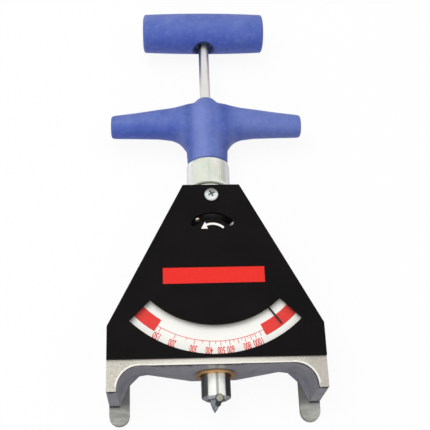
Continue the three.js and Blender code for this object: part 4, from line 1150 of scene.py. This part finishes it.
class GAUGE_OT_yoke(bpy.types.Operator):
    """Dresses the cast body with its legs and fingers"""
    bl_idname = "gauge.yoke"
    bl_label = "Yoke body"

    def execute(self, context):
        bm = round_edges(from_solid("yoke_body"), sizes().edge_round)
        settle("yoke_casting", bm, "cast_body", "yoke_body")
        refinish("face_paint", "back_cover")
        return {"FINISHED"}


class GAUGE_OT_face_plate(bpy.types.Operator):
    """Adds the face plate with its stripe and its arrow"""
    bl_idname = "gauge.face_plate"
    bl_label = "Face plate"

    def execute(self, context):
        bm = round_edges(from_solid("face_plate"), sizes().sheet_round)
        settle("face_sheet", bm, "face_paint", "face_plate")
        layer = sizes().print_thickness
        level = FACE_FRONT + layer / 2
        stripe = bmesh.new()
        printed_polygon(stripe, STRIPE, level, layer)
        settle("face_stripe", stripe, "red_ink")
        arrow = bmesh.new()
        printed_arc(arrow, RESET_ARC, level, layer, steps=32)
        printed_polygon(arrow, ARROW_HEAD, level, layer, PIVOT)
        settle("reset_arrow", arrow, "white_ink")
        # a sheet under the slot, with painted shade and a painted pool of light at its right end
        painted_shade_lip = bmesh.new()
        printed_arc(painted_shade_lip, SLOT_LIGHT_SHEET, FACE_FRONT - SLOT_LIGHT_SHEET_DEPTH, SLOT_LIGHT_SHEET_THICKNESS, steps=12)
        settle("slot_light_sheet", painted_shade_lip, "lit_wall")
        refinish("clear_sheet", "window_lens")
        return {"FINISHED"}


class GAUGE_OT_dial(bpy.types.Operator):
    """Adds the dial's zones, its scale and its numbers"""
    bl_idname = "gauge.dial"
    bl_label = "Dial"

    def execute(self, context):
        refinish("dial_ground", "dial_plate")
        layer = sizes().print_thickness
        level = DIAL_FRONT + layer / 2
        zones = bmesh.new()
        printed_arc(zones, LEFT_ZONE, level, layer)
        printed_arc(zones, RIGHT_ZONE, level, layer)
        settle("dial_zones", zones, "red_ink")
        scale = bmesh.new()
        printed_arc(scale, SCALE_LINE, level, layer, steps=96)
        for angle in READINGS.values():
            printed_stroke(scale, angle, LONG_STROKE, level, layer)
        for angle in HALF_WAY_TICKS:
            printed_stroke(scale, angle, SHORT_STROKE, level, layer)
        settle("dial_scale", scale, "red_ink")
        numbers = bmesh.new()
        for reading in NUMBERED:
            mesh = numeral(str(reading), READINGS[reading], level, layer)
            numbers.from_mesh(mesh)
            bpy.data.meshes.remove(mesh)
        settle("dial_numbers", numbers, "red_ink")
        refinish("face_paint", "pointer")
        return {"FINISHED"}


class GAUGE_OT_fasteners(bpy.types.Operator):
    """Adds the face screw and finishes the small screws"""
    bl_idname = "gauge.fasteners"
    bl_label = "Screws"

    def execute(self, context):
        radius = (SCREW_HIGH.x - SCREW_LOW.x) / 2
        rim = FACE_FRONT + SCREW_GAP
        rise = SCREW_HIGH.z - rim
        profile = [(0, SCREW_LOW.z), (SCREW_SHANK, SCREW_LOW.z), (SCREW_SHANK, rim), (radius, rim)]
        for sine, cosine in quarter(HEAD_STEPS):
            out = HEAD_FLAT_SHARE + (1 - HEAD_FLAT_SHARE) * cosine
            up = HEAD_WALL_SHARE + (1 - HEAD_WALL_SHARE) * sine
            profile.append((radius * out, rim + rise * up))
        profile.append((0, SCREW_HIGH.z))
        head = spun(profile, SMALL_STEPS, ALONG_Z, SCREW)
        for turn in RECESS_TURNS:
            place = Matrix.Translation((SCREW.x, SCREW.y, SCREW_HIGH.z)) @ turned(turn)
            head = combined(head, add_block(bmesh.new(), RECESS_SIZE, place))
        settle("face_screw_head", head, "bright_screw", "face_screw")
        screws = [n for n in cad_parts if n.startswith(("cover_screw", "dial_screw", "movement_screw"))]
        refinish("zinc_plate", *screws)
        refinish("spring_steel", "grip_set_screw")
        return {"FINISHED"}


class GAUGE_OT_collar(bpy.types.Operator):
    """Adds the knurled collar, the ring under it and the tube"""
    bl_idname = "gauge.collar"
    bl_label = "Collar"

    def execute(self, context):
        add_collar()
        low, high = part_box("lock_ring")
        ring = spun(closed(((TUBE_SEAT, low.y), (high.x, low.y), (high.x, high.y), (TUBE_SEAT, high.y))))
        round_edges(ring, 0.5 * MM, 3)
        settle("collar_lock_ring", ring, "zinc_plate", "lock_ring")
        refinish("ground_steel", "spring_tube")
        return {"FINISHED"}


class GAUGE_OT_plunger(bpy.types.Operator):
    """Adds the push rod, the bush, the feeler sleeve and the hook"""
    bl_idname = "gauge.plunger"
    bl_label = "Plunger"

    def execute(self, context):
        add_rod()
        add_bush()
        add_sleeve()
        add_hook()
        refinish("ground_steel", "hook_stem", "spring_seat")
        refinish("bearing_bronze", "rod_guide_bush")
        refinish("moulded_handle", "cap_insert")
        refinish("spring_steel", "seat_pin")
        return {"FINISHED"}


class GAUGE_OT_grip(bpy.types.Operator):
    """Adds the moulded T-grip"""
    bl_idname = "gauge.grip"
    bl_label = "T-grip"

    def execute(self, context):
        span = GRIP_HIGH.y - GRIP_LOW.y
        barrel = [(0, GRIP_LOW.y), (GRIP_MOUTH_RADIUS, GRIP_LOW.y)]
        barrel += [(GRIP_BARREL_RADIUS * r, GRIP_LOW.y + span * y) for r, y in GRIP_BARREL_SHARES]
        barrel.append((0, GRIP_HIGH.y))
        whole = combined(spun(barrel), grip_arms(), "UNION")
        holder = linked("grip", mesh_from(whole, "grip"))
        remesh = holder.modifiers.new("cells", "REMESH")
        remesh.mode = "VOXEL"
        remesh.voxel_size = sizes().grip_voxel
        smooth = holder.modifiers.new("blend", "SMOOTH")
        smooth.factor = 0.5
        smooth.iterations = sizes().grip_blend
        grip = combined(applied([holder]), grip_trimmer())
        for bore in GRIP_BORES:
            grip = combined(grip, cylinder(*bore))
        screw = cylinder(SET_SCREW_RADIUS, *SET_SCREW_ENDS, ALONG_Z, SET_SCREW_PLACE)
        grip = combined(grip, screw)
        settle("t_grip_moulding", grip, "moulded_handle", "t_grip")
        return {"FINISHED"}


class GAUGE_OT_push_handle(bpy.types.Operator):
    """Adds the push handle at the end of the rod"""
    bl_idname = "gauge.push_handle"
    bl_label = "Push handle"

    def execute(self, context):
        half = CAP_HIGH.x
        outline = []
        for step in range(CAP_BARREL_STEPS + 1):
            place = (half - CAP_END_LENGTH) * step / CAP_BARREL_STEPS
            outline.append((CAP_RADIUS * (1 - CAP_BARREL_SHARE * (place / half) ** 2), place))
        end = outline[-1][0]
        for sine, cosine in quarter(CAP_END_STEPS, 1):
            short = (CAP_END_LENGTH - CAP_DOME) * (1 - sine)
            outline.append((end - CAP_END_DROP * (1 - cosine), half - CAP_DOME - short))
        face = outline[-1][0]
        for sine, cosine in quarter(CAP_DOME_STEPS, 1):
            outline.append((face * cosine, half - CAP_DOME * (1 - sine)))
        profile = [(r, -x) for r, x in reversed(outline)] + outline[1:]
        handle = spun(profile, TURNED_STEPS, ALONG_X, CAP_CENTRE)
        handle = combined(handle, cylinder(CAP_BORE, CAP_LOW.y - MM, CAP_BORE_END))
        settle("push_handle_moulding", handle, "moulded_handle", "t_cap", "hook")
        return {"FINISHED"}


class GAUGE_OT_springs(bpy.types.Operator):
    """Winds the two springs on the plunger"""
    bl_idname = "gauge.springs"
    bl_label = "Springs"

    def execute(self, context):
        for node, wire, turns, joint, stroke in (
            ("main_spring", MAIN_WIRE, sizes().main_spring_turns, "hook_slide", HOOK_STROKE),
            ("sleeve_spring", SLEEVE_WIRE, sizes().sleeve_spring_turns, "sleeve_slide", SLEEVE_STROKE),
        ):
            low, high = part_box(node)
            bm = coil(wire, high.x - wire / 2, low.y, high.y, turns)
            piece = settle(node + "_coil", bm, "spring_steel", node, sharp=COIL_SHARP)
            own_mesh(piece)
        return {"FINISHED"}


class GAUGE_OT_movement(bpy.types.Operator):
    """Finishes the rack, the pinion and the pieces round them"""
    bl_idname = "gauge.movement"
    bl_label = "Movement"

    def execute(self, context):
        refinish("ground_steel", "pointer_arbor", "rack_bar", "drive_arm")
        refinish("face_paint", "movement_plate")
        refinish("worn_pin", "reset_pin")
        refinish("bearing_bronze", "pinion", "rack_guide", "friction_washer")
        refinish("spring_steel", "arbor_clip")
        refinish("zinc_plate", "sleeve_nut")
        return {"FINISHED"}


OPERATORS = (
    GAUGE_OT_stage, GAUGE_OT_yoke, GAUGE_OT_face_plate, GAUGE_OT_dial, GAUGE_OT_fasteners,
    GAUGE_OT_collar, GAUGE_OT_plunger, GAUGE_OT_grip, GAUGE_OT_push_handle, GAUGE_OT_springs,
    GAUGE_OT_movement,
)


class GAUGE_PT_pieces(bpy.types.Panel):
    """The gauge's pieces, sizes and colours"""
    bl_idname = "GAUGE_PT_pieces"
    bl_label = "Belt Tension Gauge"
    bl_space_type = "VIEW_3D"
    bl_region_type = "UI"
    bl_category = "Gauge"

    def draw(self, context):
        for group in (context.scene.gauge_sizes, context.scene.gauge_colours):
            box = self.layout.box()
            for name in group.bl_rna.properties.keys():
                if name not in ("rna_type", "name"):
                    box.prop(group, name)
        for operator in OPERATORS:
            self.layout.operator(operator.bl_idname)


CLASSES = (GaugeSizes, GaugeColours, *OPERATORS, GAUGE_PT_pieces)


def register():
    for item in CLASSES:
        bpy.utils.register_class(item)
    bpy.types.Scene.gauge_sizes = PointerProperty(type=GaugeSizes)
    bpy.types.Scene.gauge_colours = PointerProperty(type=GaugeColours)


def unregister():
    del bpy.types.Scene.gauge_colours
    del bpy.types.Scene.gauge_sizes
    for item in reversed(CLASSES):
        bpy.utils.unregister_class(item)


def main():
    register()
    for operator in OPERATORS:
        group, name = operator.bl_idname.split(".")
        getattr(getattr(bpy.ops, group), name)()


if __name__ == "__main__":
    main()
